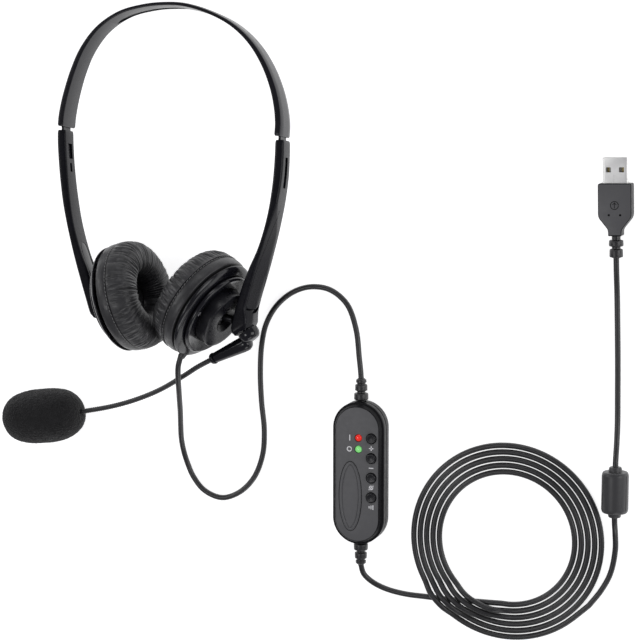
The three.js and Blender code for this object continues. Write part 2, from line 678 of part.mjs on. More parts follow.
function bead() {
  const [cr, cl] = BEAD_COLLAR;
  const half = BEAD_LENGTH / 2;
  const body = turned([
    [0, -half - cl], [cr, -half - cl], [cr, -half], [BEAD_RADIUS - 1, -half], [BEAD_RADIUS, -half + 1],
    [BEAD_RADIUS, half - 1], [BEAD_RADIUS - 1, half], [cr, half], [cr, half + cl], [0, half + cl],
  ], 20);
  return solidOf(geometryOf(body).rotateX(Math.PI / 2).translate(...BEAD_AT));
}

function buildPlug(group) {
  const [shellWidth, shellHeight] = PLUG_SHELL;
  const grip = plate([
    [-3.2, 10.6], [3.2, 10.6], [3.2, 13.5], [8, 19.5], [8, PLUG_GRIP_END - 0.6], [7.4, PLUG_GRIP_END],
    [-7.4, PLUG_GRIP_END], [-8, PLUG_GRIP_END - 0.6], [-8, 19.5], [-3.2, 13.5],
  ], PLUG_GRIP_THICK);
  const boot = ringed([[0.2, 4.3, 3.25], [5.4, 8.6, 3.5]], 2.1, 0, 11.5, 2.1);
  const bootAlong = solidOf(geometryOf(boot).rotateX(-Math.PI / 2));
  const pocket = block(shellWidth + 2 * GAP, PLUG_SHELL_DEPTH + 1, shellHeight + 2 * GAP,
    [0, PLUG_GRIP_END + 0.6 - PLUG_SHELL_DEPTH / 2 - 0.5, 0]);
  add(group, 'plug_grip', grip.add(bootAlong).subtract(pocket), 'satin');
  const shellStart = PLUG_GRIP_END - PLUG_SHELL_DEPTH;
  const shellLength = PLUG_TIP - shellStart;
  const wall = PLUG_SHELL_WALL;
  let shell = block(shellWidth, shellLength, shellHeight, [0, shellStart + shellLength / 2, 0])
    .subtract(block(shellWidth - 2 * wall, shellLength, shellHeight - 2 * wall,
      [0, shellStart + shellLength / 2 + wall, 0]));
  for (const x of [-3.1, 3.1]) shell = shell.subtract(block(2.4, 2.4, 10, [x, PLUG_TIP - 5.8, 0]));
  add(group, 'plug_shell', shell, 'nickel');
  const tongueLength = shellLength - 1.8;
  const tongue = block(10.4, tongueLength, 1.4, [0, PLUG_TIP - 1 - tongueLength / 2, -0.75]);
  add(group, 'plug_tongue', tongue, 'mesh');
}

// -------------------------------------------------------------- assembling

const headset = new THREE.Group();
headset.rotation.set(-HEADSET_LEAN, 0, HEADSET_YAW, 'ZYX');
headset.position.set(...HEADSET_AT);
add(headset, 'headband', headband(), 'gloss');
for (const side of ['left', 'right']) {
  add(headset, `${side}_slider_strip`, strip(side), 'satin');
  add(headset, `${side}_arm`, armShell(side), 'satin');
  const frame = ballFrame(side);
  add(frame, `${side}_ball_stud`, ballStud(side), 'steel');
  const tilted = new THREE.Group();
  tilted.rotation.x = -CUP_TILT[side];
  frame.add(tilted);
  add(tilted, `${side}_ball_liner`, ballLiner(), 'liner');
  const cup = new THREE.Group();
  cup.rotation.y = CUP_TWIST[side];
  tilted.add(cup);
  buildCup(side, cup);
  if (side === 'right') add(cup, 'cord_gland', cordGland(), 'rubber');
  headset.add(frame);
}
add(headset, 'right_arm_cover', armCover('right'), 'gloss');
add(headset, 'left_arm_inlay', armInlay(), 'gloss');
add(headset, 'boom_pin', boomPin(BOOM_PIN_RADIUS, BOOM_PIN_HALF), 'steel');
add(headset, 'boom_base', boomBase(), 'satin');
add(headset, 'boom_collar', boomCollar(), 'gloss');
add(headset, 'boom_tube', cordAlong(BOOM_ROUTE, BOOM_TUBE_RADIUS, 26), 'rubber');
add(headset, 'mic_capsule', micCapsule(), 'steel');
add(headset, 'mic_foam', micFoam(), 'foam');

const controller = new THREE.Group();
controller.position.set(BOX_AT[0], BOX_AT[1], 0);
buildController(controller);

const plug = new THREE.Group();
plug.position.set(...PLUG_FOOT);
plug.rotation.z = PLUG_YAW;
buildPlug(plug);

const headsetWithCable = new THREE.Group();
headsetWithCable.position.set(...ORIGIN_SHIFT);
headsetWithCable.add(headset, controller, plug);
add(headsetWithCable, 'headset_cord', cordAlong(HEADSET_CORD, CORD_RADIUS, 66), 'rubber');
for (const [end, y] of Object.entries(RELIEF_START)) {
  const direction = [0, end === 'inlet' ? 1 : -1, 0];
  add(headsetWithCable, `controller_${end}_relief`, relief([BOX_AT[0], y, RELIEF_HEIGHT], direction), 'rubber');
}
add(headsetWithCable, 'usb_cord_start', cordAlong(CONTROLLER_TO_COIL, CORD_RADIUS, 9), 'rubber');
add(headsetWithCable, 'usb_cord_coil', coil(), 'rubber');
add(headsetWithCable, 'usb_cord_middle', cordAlong(COIL_TO_BEAD, CORD_RADIUS, 12), 'rubber');
add(headsetWithCable, 'ferrite_bead', bead(), 'satin');
add(headsetWithCable, 'usb_cord_end', cordAlong(BEAD_TO_PLUG, CORD_RADIUS, 18), 'rubber');

export default headsetWithCable;
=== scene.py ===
"""Office headset lying on a table: its looks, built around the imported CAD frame.

Shapes are worked out in millimetres in the headset's, cup's or control box's own frame, and
placed by that frame's matrix, which also turns them into metres.
"""

import json
import math

import bpy
import bmesh
from mathutils import Matrix, Vector, noise


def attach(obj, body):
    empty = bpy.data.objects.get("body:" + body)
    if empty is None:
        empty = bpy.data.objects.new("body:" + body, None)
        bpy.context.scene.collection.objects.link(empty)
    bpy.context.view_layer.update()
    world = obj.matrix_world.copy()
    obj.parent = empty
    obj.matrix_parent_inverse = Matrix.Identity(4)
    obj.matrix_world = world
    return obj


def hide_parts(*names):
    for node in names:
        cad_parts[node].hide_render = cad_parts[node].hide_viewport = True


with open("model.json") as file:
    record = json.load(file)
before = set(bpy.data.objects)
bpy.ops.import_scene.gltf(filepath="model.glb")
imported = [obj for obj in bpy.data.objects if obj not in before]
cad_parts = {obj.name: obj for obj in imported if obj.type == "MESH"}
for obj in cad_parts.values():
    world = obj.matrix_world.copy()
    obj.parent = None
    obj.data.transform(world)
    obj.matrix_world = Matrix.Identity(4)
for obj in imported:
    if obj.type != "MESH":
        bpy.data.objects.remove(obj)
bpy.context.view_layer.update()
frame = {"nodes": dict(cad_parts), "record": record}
scene = bpy.context.scene

MM = 0.001
SHIFT = Vector((64.49, -23.593, 0.0))            # table layout to the part's origin

# ------------------------------------------------------------------ frames


def turn(degrees, axis):
    return Matrix.Rotation(math.radians(degrees), 4, axis)


TABLE = Matrix.Scale(MM, 4) @ Matrix.Translation(SHIFT)
HEAD = TABLE @ Matrix.Translation((-73.14, 155.87, 7.8)) @ turn(2.6, "Z") @ turn(-8.1, "X")
SIDES = {
    "right": {"sign": 1, "ball": (23.7, -153.9), "slope": 16.3, "tilt": 18.0, "twist": 7.6,
              "stud": 10.4, "hub": (15.0, 6.0)},
    "left": {"sign": -1, "ball": (-31.6, -146.6), "slope": 17.0, "tilt": 5.6, "twist": -5.9,
             "stud": 7.2, "hub": (10.5, 4.2)},
}


def ball_frame(side):
    """The arm end's frame at the ball joint: +Z outwards, +X out of the headset's plane."""
    s = SIDES[side]
    slope = math.radians(s["slope"])
    out = Vector((s["sign"] * math.cos(slope), -math.sin(slope), 0))
    up = Vector((0, 0, 1))
    across = out.cross(up)
    basis = Matrix((up, across, out)).transposed().to_4x4()
    return HEAD @ Matrix.Translation((s["ball"][0], s["ball"][1], 0)) @ basis


def cup_frame(side):
    s = SIDES[side]
    return ball_frame(side) @ turn(-s["tilt"], "X") @ turn(s["twist"], "Y")


BOX = TABLE @ Matrix.Translation((24.3, -74.7, 0))
PLUG = TABLE @ Matrix.Translation((150.5, 37.0, 4.0)) @ turn(1.4, "Z")

# ------------------------------------------------------------------ camera

VIEW_FROM = Vector((0.3125, 0.139, 0.94)).normalized()
VIEW_DISTANCE = 1.1
LENS = 123.75
AIM = TABLE @ Vector((0, 0, 0))

back = VIEW_FROM
right = Vector((0, 1, 0)).cross(back).normalized()
upward = back.cross(right)
camera = bpy.data.objects.new("camera", bpy.data.cameras.new("camera"))
camera.data.lens = LENS
camera.data.sensor_width = 36
camera.data.clip_start = 0.01
facing = Matrix((right, upward, back)).transposed().to_4x4()
camera.matrix_world = Matrix.Translation(AIM + back * VIEW_DISTANCE) @ facing
scene.collection.objects.link(camera)
scene.camera = camera

# --------------------------------------------------------------- materials


def node(tree, kind, **inputs):
    made = tree.nodes.new(kind)
    for key, value in inputs.items():
        made.inputs[key.replace("_", " ")].default_value = value
    return made


def material(name, color, roughness, spread=0.25, metallic=0.0, grain=None, rough_spread=0.12, **sockets):
    """A moulded or woven surface: colour and roughness drift over it, and grain gives its relief.

    grain is a list of (texture, scale, bump distance in mm, stretch); each adds one layer of bump.
    """
    made = bpy.data.materials.new(name)
    made.use_nodes = True
    tree = made.node_tree
    shader = tree.nodes["Principled BSDF"]
    shader.inputs["Metallic"].default_value = metallic
    for key, value in sockets.items():
        shader.inputs[key.replace("_", " ")].default_value = value
    place = tree.nodes.new("ShaderNodeTexCoord").outputs["Object"]
    drift = node(tree, "ShaderNodeTexNoise", Scale=90.0, Detail=6.0, Roughness=0.6)
    tree.links.new(place, drift.inputs["Vector"])
    tint = tree.nodes.new("ShaderNodeValToRGB")
    tint.color_ramp.elements[0].position = 0.3
    tint.color_ramp.elements[1].position = 0.7
    tint.color_ramp.elements[0].color = [c * (1 - spread) for c in color] + [1]
    tint.color_ramp.elements[1].color = [min(1, c * (1 + spread)) for c in color] + [1]
    tree.links.new(drift.outputs["Fac"], tint.inputs["Fac"])
    tree.links.new(tint.outputs["Color"], shader.inputs["Base Color"])
    fine = node(tree, "ShaderNodeTexNoise", Scale=420.0, Detail=4.0)
    tree.links.new(place, fine.inputs["Vector"])
    rough = node(tree, "ShaderNodeMapRange", From_Min=0.25, From_Max=0.75,
                 To_Min=max(0.02, roughness - rough_spread), To_Max=min(1, roughness + rough_spread))
    tree.links.new(fine.outputs["Fac"], rough.inputs["Value"])
    tree.links.new(rough.outputs["Result"], shader.inputs["Roughness"])
    normal = None
    for kind, scale, depth, stretch in grain or []:
        mapping = tree.nodes.new("ShaderNodeMapping")
        mapping.inputs["Scale"].default_value = stretch
        tree.links.new(place, mapping.inputs["Vector"])
        if kind == "cells":
            relief = node(tree, "ShaderNodeTexVoronoi", Scale=scale)
            relief.feature = "DISTANCE_TO_EDGE"
            out = relief.outputs["Distance"]
        elif kind == "pits":
            relief = node(tree, "ShaderNodeTexVoronoi", Scale=scale)
            out = relief.outputs["Distance"]
        else:
            relief = node(tree, "ShaderNodeTexNoise", Scale=scale, Detail=5.0)
            out = relief.outputs["Fac"]
        tree.links.new(mapping.outputs["Vector"], relief.inputs["Vector"])
        bump = tree.nodes.new("ShaderNodeBump")
        bump.inputs["Distance"].default_value = depth * MM
        bump.inputs["Strength"].default_value = 1.0
        tree.links.new(out, bump.inputs["Height"])
        if normal:
            tree.links.new(normal, bump.inputs["Normal"])
        normal = bump.outputs["Normal"]
    if normal:
        tree.links.new(normal, shader.inputs["Normal"])
    return made


EVEN = (1, 1, 1)
LOOKS = {
    "black_satin": material("black_satin", (0.008, 0.008, 0.0105), 0.3, rough_spread=0.08,
                            grain=[("noise", 3200, 0.012, EVEN)], Specular_IOR_Level=0.32),
    "black_gloss": material("black_gloss", (0.006, 0.006, 0.0085), 0.17, rough_spread=0.04,
                            grain=[("noise", 60, 0.02, EVEN)], Specular_IOR_Level=0.42),
    "leatherette": material("leatherette", (0.03, 0.03, 0.0315), 0.38, spread=0.3,
                            grain=[("cells", 1500, 0.04, EVEN), ("noise", 700, 0.1, EVEN)]),
    "mic_foam": material("mic_foam", (0.006, 0.006, 0.0065), 0.95, spread=0.5,
                         grain=[("pits", 1100, 0.45, EVEN), ("noise", 2400, 0.2, EVEN)], Sheen_Weight=0.06,
                         Sheen_Roughness=0.5),
    "cord_rubber": material("cord_rubber", (0.008, 0.008, 0.009), 0.4, spread=0.1, rough_spread=0.02,
                            grain=[("noise", 4000, 0.002, EVEN)], Specular_IOR_Level=0.75),
    "steel": material("steel", (0.2, 0.2, 0.21), 0.3, spread=0.12, metallic=1.0,
                      grain=[("noise", 2200, 0.01, (1, 1, 0.1))]),
    "nickel": material("nickel", (0.86, 0.86, 0.84), 0.32, spread=0.03, metallic=0.55, rough_spread=0.04,
                       grain=[("noise", 2600, 0.004, (1, 0.06, 1))]),
    "circuit_board": material("circuit_board", (0.02, 0.14, 0.05), 0.45, grain=[("cells", 900, 0.05, EVEN)]),
    "led_red": material("led_red", (0.8, 0.02, 0.015), 0.18, spread=0.15,
                        Emission_Color=(1.0, 0.05, 0.03, 1), Emission_Strength=0.3,
                        grain=[("noise", 900, 0.01, EVEN)]),
    "led_green": material("led_green", (0.3, 0.72, 0.26), 0.16, spread=0.2,
                          Emission_Color=(0.2, 1.0, 0.2, 1), Emission_Strength=0.28,
                          grain=[("noise", 900, 0.01, EVEN)]),
    "acoustic_mesh": material("acoustic_mesh", (0.012, 0.012, 0.013), 0.85,
                              grain=[("cells", 2200, 0.12, EVEN)]),
    "contact_plastic": material("contact_plastic", (0.55, 0.55, 0.53), 0.5, spread=0.08,
                                grain=[("noise", 2500, 0.01, EVEN)]),
}
THREAD = material("thread", (0.2, 0.2, 0.2), 0.7, grain=[("noise", 4000, 0.03, EVEN)])
PRINT = material("print", (0.85, 0.85, 0.86), 0.6, spread=0.1, grain=[("noise", 2500, 0.005, EVEN)])
# Lighter grey for the controller top, the plug top and the oval trim: partly their own finish, partly
# painted sheen of the overhead light on upward faces.
PLATE_AND_SHEEN = material("plate_finish_and_sheen", (0.092, 0.092, 0.096), 0.45, spread=0.04, rough_spread=0.04,
                      grain=[("noise", 3800, 0.008, EVEN)])
BEAD_GREY = material("bead_grey", (0.045, 0.045, 0.047), 0.42, spread=0.06, rough_spread=0.04,
                     grain=[("noise", 3800, 0.01, EVEN)])
DARK_STEEL = material("dark_steel", (0.05, 0.05, 0.055), 0.35, spread=0.1, metallic=1.0,
                      grain=[("noise", 2200, 0.01, EVEN)])
CASE_BLACK = material("case_black", (0.006, 0.006, 0.0075), 0.4, rough_spread=0.05,
                      grain=[("noise", 3800, 0.008, EVEN)], Specular_IOR_Level=0.14)
GOLD = material("gold", (0.32, 0.26, 0.12), 0.4, metallic=1.0, grain=[("noise", 2500, 0.005, EVEN)])
SHADOW_GAP = material("shadow_gap", (0.004, 0.004, 0.004), 0.7, grain=[("noise", 2500, 0.02, EVEN)])
BAND_LOOK = material("band", (0.008, 0.008, 0.011), 0.24, rough_spread=0.05,
                     grain=[("noise", 2200, 0.006, EVEN)], Specular_IOR_Level=0.3)
ARM_LOOK = material("arm", (0.006, 0.006, 0.0085), 0.27, rough_spread=0.05,
                    grain=[("noise", 2800, 0.008, EVEN)], Specular_IOR_Level=0.16)

# -------------------------------------------------------------- mesh tools


def piece(name, verts, faces, where, body, slot, *replaced, look=None, sharp=32):
    """One finished piece from millimetre vertices: outward faces, smooth shading, body, slot."""
    mesh = bpy.data.meshes.new(name)
    mesh.from_pydata([where @ Vector(v) for v in verts], [], faces)
    tidy = bmesh.new()
    tidy.from_mesh(mesh)
    bmesh.ops.remove_doubles(tidy, verts=tidy.verts, dist=1e-7)
    bmesh.ops.recalc_face_normals(tidy, faces=tidy.faces)
    tidy.to_mesh(mesh)
    tidy.free()
    mesh.shade_smooth()
    mesh.set_sharp_from_angle(angle=math.radians(sharp))
    mesh.materials.append(look or LOOKS[slot])
    made = bpy.data.objects.new(name, mesh)
    scene.collection.objects.link(made)
    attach(made, body)
    if replaced:
        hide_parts(*replaced)
    return made


def combine(target, other, operation):
    """Boolean of two pieces, kept in the first; the second goes."""
    change = target.modifiers.new("boolean", "BOOLEAN")
    change.operation = operation
    change.solver = "EXACT"
    change.object = other
    bpy.context.view_layer.update()
    with_change = target.evaluated_get(bpy.context.evaluated_depsgraph_get())
    result = bpy.data.meshes.new_from_object(with_change)
    target.modifiers.clear()
    target.data = result
    result.shade_smooth()
    result.set_sharp_from_angle(angle=math.radians(32))
    bpy.data.objects.remove(other)
    return target


def cut(target, *cutters):
    for cutter in cutters:
        combine(target, cutter, "DIFFERENCE")
    return target


def tool(shape, where, body, slot="black_satin", look=None):
    """A solid that is there only to be cut away with."""
    return piece("cutter", *shape, where, body, slot, look=look)


def fillet(points, radius, steps=4, closed=True):
    """A polygon with its corners rounded; a point may carry its own radius as a third value."""
    count = len(points)
    result = []
    for i, point in enumerate(points):
        here = Vector(point[:2])
        r = point[2] if len(point) > 2 else radius
        if r == 0 or (not closed and i in (0, count - 1)):
            result.append(tuple(here))
            continue
        before = Vector(points[i - 1][:2])
        after = Vector(points[(i + 1) % count][:2])
        reach = min(r, 0.46 * (before - here).length, 0.46 * (after - here).length)
        start = here + (before - here).normalized() * reach
        end = here + (after - here).normalized() * reach
        for k in range(steps + 1):
            t = k / steps
            mixed = start * (1 - t) ** 2 + here * 2 * t * (1 - t) + end * t ** 2
            result.append(tuple(mixed))
    return result


def rings_to_mesh(rings, closed_ring=True, wrap=False, caps=(True, True)):
    """Faces between rings of equal length; a ring of one point is a pole."""
    verts, faces, starts = [], [], []
    for ring in rings:
        starts.append(len(verts))
        verts.extend(ring)
    pairs = list(range(len(rings) - 1)) + ([len(rings) - 1] if wrap else [])
    for k in pairs:
        a, b = starts[k], starts[(k + 1) % len(rings)]
        na, nb = len(rings[k]), len(rings[(k + 1) % len(rings)])
        n = max(na, nb)
        for i in range(n if closed_ring else n - 1):
            j = (i + 1) % n
            if na == 1:
                faces.append((a, b + i, b + j))
            elif nb == 1:
                faces.append((a + i, b, a + j))
            else:
                faces.append((a + i, b + i, b + j, a + j))
    if not wrap:
        if caps[0] and len(rings[0]) > 2:
            faces.append(tuple(range(starts[0], starts[0] + len(rings[0]))))
        if caps[1] and len(rings[-1]) > 2:
            faces.append(tuple(range(starts[-1], starts[-1] + len(rings[-1]))))
    return verts, faces


def circle(radius, sides=16):
    return [(radius * math.cos(2 * math.pi * k / sides), radius * math.sin(2 * math.pi * k / sides))
            for k in range(sides)]


def ellipse(width, length, sides=72):
    return [(width / 2 * x, length / 2 * y) for x, y in circle(1, sides)]


def turned(profile, sides=96, edge=0.25):
    """A turned solid about +Z from (radius, height[, edge radius]) points, rounded at its corners."""
    on_axis = profile[0][0] == 0 and profile[-1][0] == 0
    smooth = fillet(profile, edge, closed=not on_axis)
    rings = []
    for r, h in smooth:
        if r < 1e-6:
            rings.append([(0, 0, h)])
        else:
            rings.append([(x, y, h) for x, y in circle(r, sides)])
    return rings_to_mesh(rings, wrap=not on_axis)


def meridian(radius, start, end, steps):
    """Points of a turned ball's side between two angles from its top, with sharp corners."""
    angles = [start + (end - start) * k / steps for k in range(steps + 1)]
    return [(radius * math.sin(a), radius * math.cos(a), 0.0) for a in angles]


def offset(points, inset):
    """A closed outline moved inwards by inset (the outline runs anticlockwise)."""
    count = len(points)
    moved = []
    for i in range(count):
        before, here, after = Vector(points[i - 1]), Vector(points[i]), Vector(points[(i + 1) % count])
        along = (after - before).normalized()
        moved.append(tuple(here + Vector((-along.y, along.x)) * inset))
    return moved


def anticlockwise(points):
    area = sum(points[i - 1][0] * p[1] - p[0] * points[i - 1][1] for i, p in enumerate(points))
    return list(points) if area > 0 else list(reversed(points))


def slab(points, layers):
    """A solid from one outline and its layers, each (inset, height)."""
    base = anticlockwise(points)
    rings = []
    for inset, height in layers:
        rings.append([(x, y, height) for x, y in (offset(base, inset) if inset else base)])
    return rings_to_mesh(rings)


def soft_edges(low, high, edge, steps=4):
    """Layers of a slab with rounded edges."""
    layers = []
    for k in range(steps + 1):
        a = math.pi / 2 * k / steps
        layers.append((edge * (1 - math.sin(a)), low + edge * (1 - math.cos(a))))
    for k in range(1, 6):
        layers.append((0.0, low + edge + (high - low - 2 * edge) * (k / 6)))
    for k in range(steps + 1):
        a = math.pi / 2 * (1 - k / steps)
        layers.append((edge * (1 - math.sin(a)), high - edge * (1 - math.cos(a))))
    return layers


def stadium(width, length, count=24):
    r, reach = width / 2, length / 2 - width / 2
    points = []
    for k in range(count + 1):
        a = math.pi * k / count
        points.append((r * math.cos(a), reach + r * math.sin(a)))
    for k in range(count + 1):
        a = math.pi + math.pi * k / count
        points.append((r * math.cos(a), -reach + r * math.sin(a)))
    return points


def rounded_rectangle(width, depth, radius):
    w, d = width / 2, depth / 2
    return fillet([(-w, -d), (w, -d), (w, d), (-w, d)], radius, 5)


def box_shape(x0, x1, y0, y1, z0, z1, edge=0.5):
    """An upright box with rounded upright edges."""
    x0, x1 = min(x0, x1), max(x0, x1)
    outline = fillet([(x0, y0), (x1, y0), (x1, y1), (x0, y1)], edge, 4)
    return slab(outline, [(0, z0), (0, z1)])


def moved(shape, x=0.0, y=0.0):
    verts, faces = shape
    return [(v[0] + x, v[1] + y, v[2]) for v in verts], faces


def joined(shapes):
    """Several loose shapes as one."""
    verts, faces = [], []
    for v, f in shapes:
        faces.extend(tuple(i + len(verts) for i in face) for face in f)
        verts.extend(v)
    return verts, faces


def curve_points(points, per=8):
    """A smooth line through given points (centripetal Catmull-Rom)."""
    ps = [Vector(p) for p in points]
    ps = [ps[0] * 2 - ps[1]] + ps + [ps[-1] * 2 - ps[-2]]
    line = []
    for i in range(1, len(ps) - 2):
        p0, p1, p2, p3 = ps[i - 1:i + 3]
        t0 = 0.0
        t1 = t0 + max(1e-6, (p1 - p0).length) ** 0.5
        t2 = t1 + max(1e-6, (p2 - p1).length) ** 0.5
        t3 = t2 + max(1e-6, (p3 - p2).length) ** 0.5
        for k in range(per):
            t = t1 + (t2 - t1) * k / per
            a1 = p0 * ((t1 - t) / (t1 - t0)) + p1 * ((t - t0) / (t1 - t0))
            a2 = p1 * ((t2 - t) / (t2 - t1)) + p2 * ((t - t1) / (t2 - t1))
            a3 = p2 * ((t3 - t) / (t3 - t2)) + p3 * ((t - t2) / (t3 - t2))
            b1 = a1 * ((t2 - t) / (t2 - t0)) + a2 * ((t - t0) / (t2 - t0))
            b2 = a2 * ((t3 - t) / (t3 - t1)) + a3 * ((t - t1) / (t3 - t1))
            line.append(b1 * ((t2 - t) / (t2 - t1)) + b2 * ((t - t1) / (t2 - t1)))
    line.append(ps[-2])
    return line


def swept(line, ring_at, up=None):
    """A solid swept along a line; ring_at(fraction, distance) gives its section as (side, up) pairs."""
    rings = []
    total = sum((line[i + 1] - line[i]).length for i in range(len(line) - 1))
    run = 0.0
    side = None
    for i, p in enumerate(line):
        along = (line[min(i + 1, len(line) - 1)] - line[max(i - 1, 0)]).normalized()
        if i:
            run += (p - line[i - 1]).length
        if up is not None:
            side = along.cross(up).normalized()
        elif side is None:
            side = along.cross(Vector((0, 0, 1)) if abs(along.z) < 0.9 else Vector((1, 0, 0))).normalized()
        else:
            side = (side - along * side.dot(along)).normalized()
        lift = side.cross(along).normalized()
        rings.append([tuple(p + side * a + lift * b) for a, b in ring_at(run / total, run)])
    return rings_to_mesh(rings)


def resample(line, step):
    result = [line[0]]
    need = step
    for a, b in zip(line, line[1:]):
        gap = (b - a).length
        while need <= gap:
            result.append(a.lerp(b, need / gap))
            need += step
        need -= gap
    result.append(line[-1])
    return result


def smooth_step(start, end, value):
    t = min(1.0, max(0.0, (value - start) / (end - start)))
    return t * t * (3 - 2 * t)


def aimed(where, start, end):
    """A frame at start with +Z towards end."""
    direction = Vector(end) - Vector(start)
    return where @ Matrix.Translation(start) @ direction.to_track_quat("Z", "Y").to_matrix().to_4x4()


# ------------------------------------------------------------------ cables

CORD_DIAMETER = 2.8
HEADSET_CORD = [
    (-62.0, -17.9, 30.6), (-63.2, -22.0, 30.3), (-64.2, -28.0, 28.2), (-65.3, -34.2, 24.7),
    (-66.7, -40.5, 20.4), (-68.4, -48.1, 15.2), (-70.2, -55.7, 10.4), (-71.5, -63.2, 6.4),
    (-71.5, -70.0, 3.6), (-70.0, -77.0, 2.0), (-67.0, -84.0, 1.5), (-61.0, -90.8, 1.5),
    (-51.5, -94.0, 1.5), (-42.0, -90.6, 1.5), (-34.0, -82.5, 1.5), (-29.2, -70.5, 1.5),
    (-28.2, -57.5, 1.5), (-29.6, -43.0, 1.5), (-30.2, -28.0, 1.5), (-29.4, -13.5, 1.5),
    (-26.8, -2.5, 1.5), (-21.0, 7.0, 1.5), (-12.5, 13.8, 1.5), (-3.0, 16.8, 1.5),
    (7.0, 15.6, 1.5), (15.8, 8.8, 1.8), (20.8, -3.2, 2.8), (23.0, -17.0, 4.4), (23.9, -23.6, 4.9),
    (24.2, -27.1, 5.0),
]
LEAD_IN = [
    (24.35, -122.5, 4.8), (25.4, -127.0, 3.8), (29.5, -131.4, 2.2), (36.5, -134.6, 1.5),
    (46.5, -136.4, 1.5), (57.6, -136.9, 1.5), (70.0, -137.4, 1.5),
]
TAIL = [
    (139.8, -134.3, 1.5), (145.6, -126.4, 1.5), (150.1, -117.4, 1.5), (152.3, -105.5, 1.8),
    (152.5, -97.0, 3.8), (152.5, -91.0, 6.1), (152.5, -86.0, 6.5), (152.5, -76.0, 6.5),
    (152.5, -66.0, 6.5), (152.5, -60.4, 6.3), (152.3, -52.0, 3.2), (152.2, -43.0, 1.7),
    (152.0, -30.0, 1.5), (151.7, -12.0, 1.5), (151.2, 6.0, 1.5), (150.8, 20.0, 1.8),
    (150.6, 30.0, 3.3), (150.5, 36.8, 4.0),
]
COIL_AT = (99.0, -104.7)
COIL_START_RADIUS = 32.4
COIL_PITCH = 3.3
COIL_START = -95.0
COIL_TURNS = 5.132
COIL_POINTS_PER_TURN = 60
CORD_HEIGHT = 1.5                       # middle of a cord that lies on the table
COIL_FREE_TURNS = 0.35                  # the coil's start, which the lead-in runs into
CROSSING = (46.0, 91.0)                 # along x, where the lead-in runs under the coil
CROSSING_Y, CROSSING_LEAN = -137.0, 0.01
HUMP_HEIGHT, HUMP_TOP, HUMP_FLANK = 2.9, 2.4, 6.5


def coil_route():
    """The flat coil, wound outwards; each turn humps over the lead-in that runs under it."""
    points = []
    steps = int(COIL_TURNS * COIL_POINTS_PER_TURN)
    for k in range(steps + 1):
        turns = COIL_TURNS * k / steps
        angle = math.radians(COIL_START + 360 * turns)
        radius = COIL_START_RADIUS + COIL_PITCH * turns
        x = COIL_AT[0] + radius * math.cos(angle)
        y = COIL_AT[1] + radius * math.sin(angle)
        lift = 0.0
        if turns > COIL_FREE_TURNS:
            ahead = min(max(x, CROSSING[0]), CROSSING[1])
            away = math.hypot(x - ahead, y - CROSSING_Y - CROSSING_LEAN * (ahead - CROSSING[0]))
            lift = 0.5 + 0.5 * math.cos(math.pi * min(1.0, max(0.0, (away - HUMP_TOP) / HUMP_FLANK)))
        points.append((x, y, CORD_HEIGHT + HUMP_HEIGHT * lift))
    return points


def cable(name, line, body, *replaced):
    """A round cable as one open spline, in metres."""
    data = bpy.data.curves.new(name, "CURVE")
    data.dimensions = "3D"
    data.bevel_depth = CORD_DIAMETER / 2 * MM
    data.bevel_resolution = 5
    data.use_fill_caps = True
    spline = data.splines.new("POLY")
    spline.points.add(len(line) - 1)
    for slot, p in zip(spline.points, line):
        slot.co = (*(TABLE @ Vector(p)), 1)
    spline.use_smooth = True
    data.materials.append(LOOKS["cord_rubber"])
    made = bpy.data.objects.new(name, data)
    scene.collection.objects.link(made)
    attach(made, body)
    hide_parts(*replaced)
    return made


def run_in(points, reach=2.0):
    """The route with both ends carried on straight into the sleeves that hold them."""
    first, second = Vector(points[0]), Vector(points[1])
    last, before = Vector(points[-1]), Vector(points[-2])
    start = first + (first - second).normalized() * reach
    end = last + (last - before).normalized() * reach
    return [start] + points + [end]


headset_line = curve_points(run_in(HEADSET_CORD), 6)
headset_cable = cable("headset_cable", headset_line, "right_cup", "headset_cord")
usb_line = (curve_points(run_in(LEAD_IN)[:-1], 6)[:-1]
            + curve_points([LEAD_IN[-1]] + coil_route() + [TAIL[0]], 2)[:-1]
            + curve_points(run_in(TAIL)[1:], 6))
usb_cable = cable("usb_cable", usb_line, "right_cup",
                  "usb_cord_start", "usb_cord_coil", "usb_cord_middle", "usb_cord_end")

# ---------------------------------------------------------------- headband

BAND_ROUTE = [
    (-58.39, -58.99), (-58.0, -54.5), (-57.3, -50.2), (-55.7, -43.2), (-51.9, -31.3), (-46.6, -20.2),
    (-38.2, -10.2), (-26.5, -3.2), (-14.0, -0.4), (-3.0, 0.2), (8.0, -0.8), (21.5, -5.2), (33.5, -11.8),
    (42.8, -20.4), (50.0, -31.3), (54.9, -43.2), (57.2, -53.0), (57.95, -61.0), (57.59, -67.19),
]
BAND_WIDTH, BAND_THICK = 14.0, 2.1
BAND_END_WIDTH, BAND_END_THICK = 15.0, 3.5
SLIDE_LEAN = 3.56
GROOVE_SPAN = (-33.0, 6.0)
GROOVE_MIDDLE, GROOVE_HALF = -4.4, 2.3
GROOVE_LAYERS = (-3.0, -0.55)


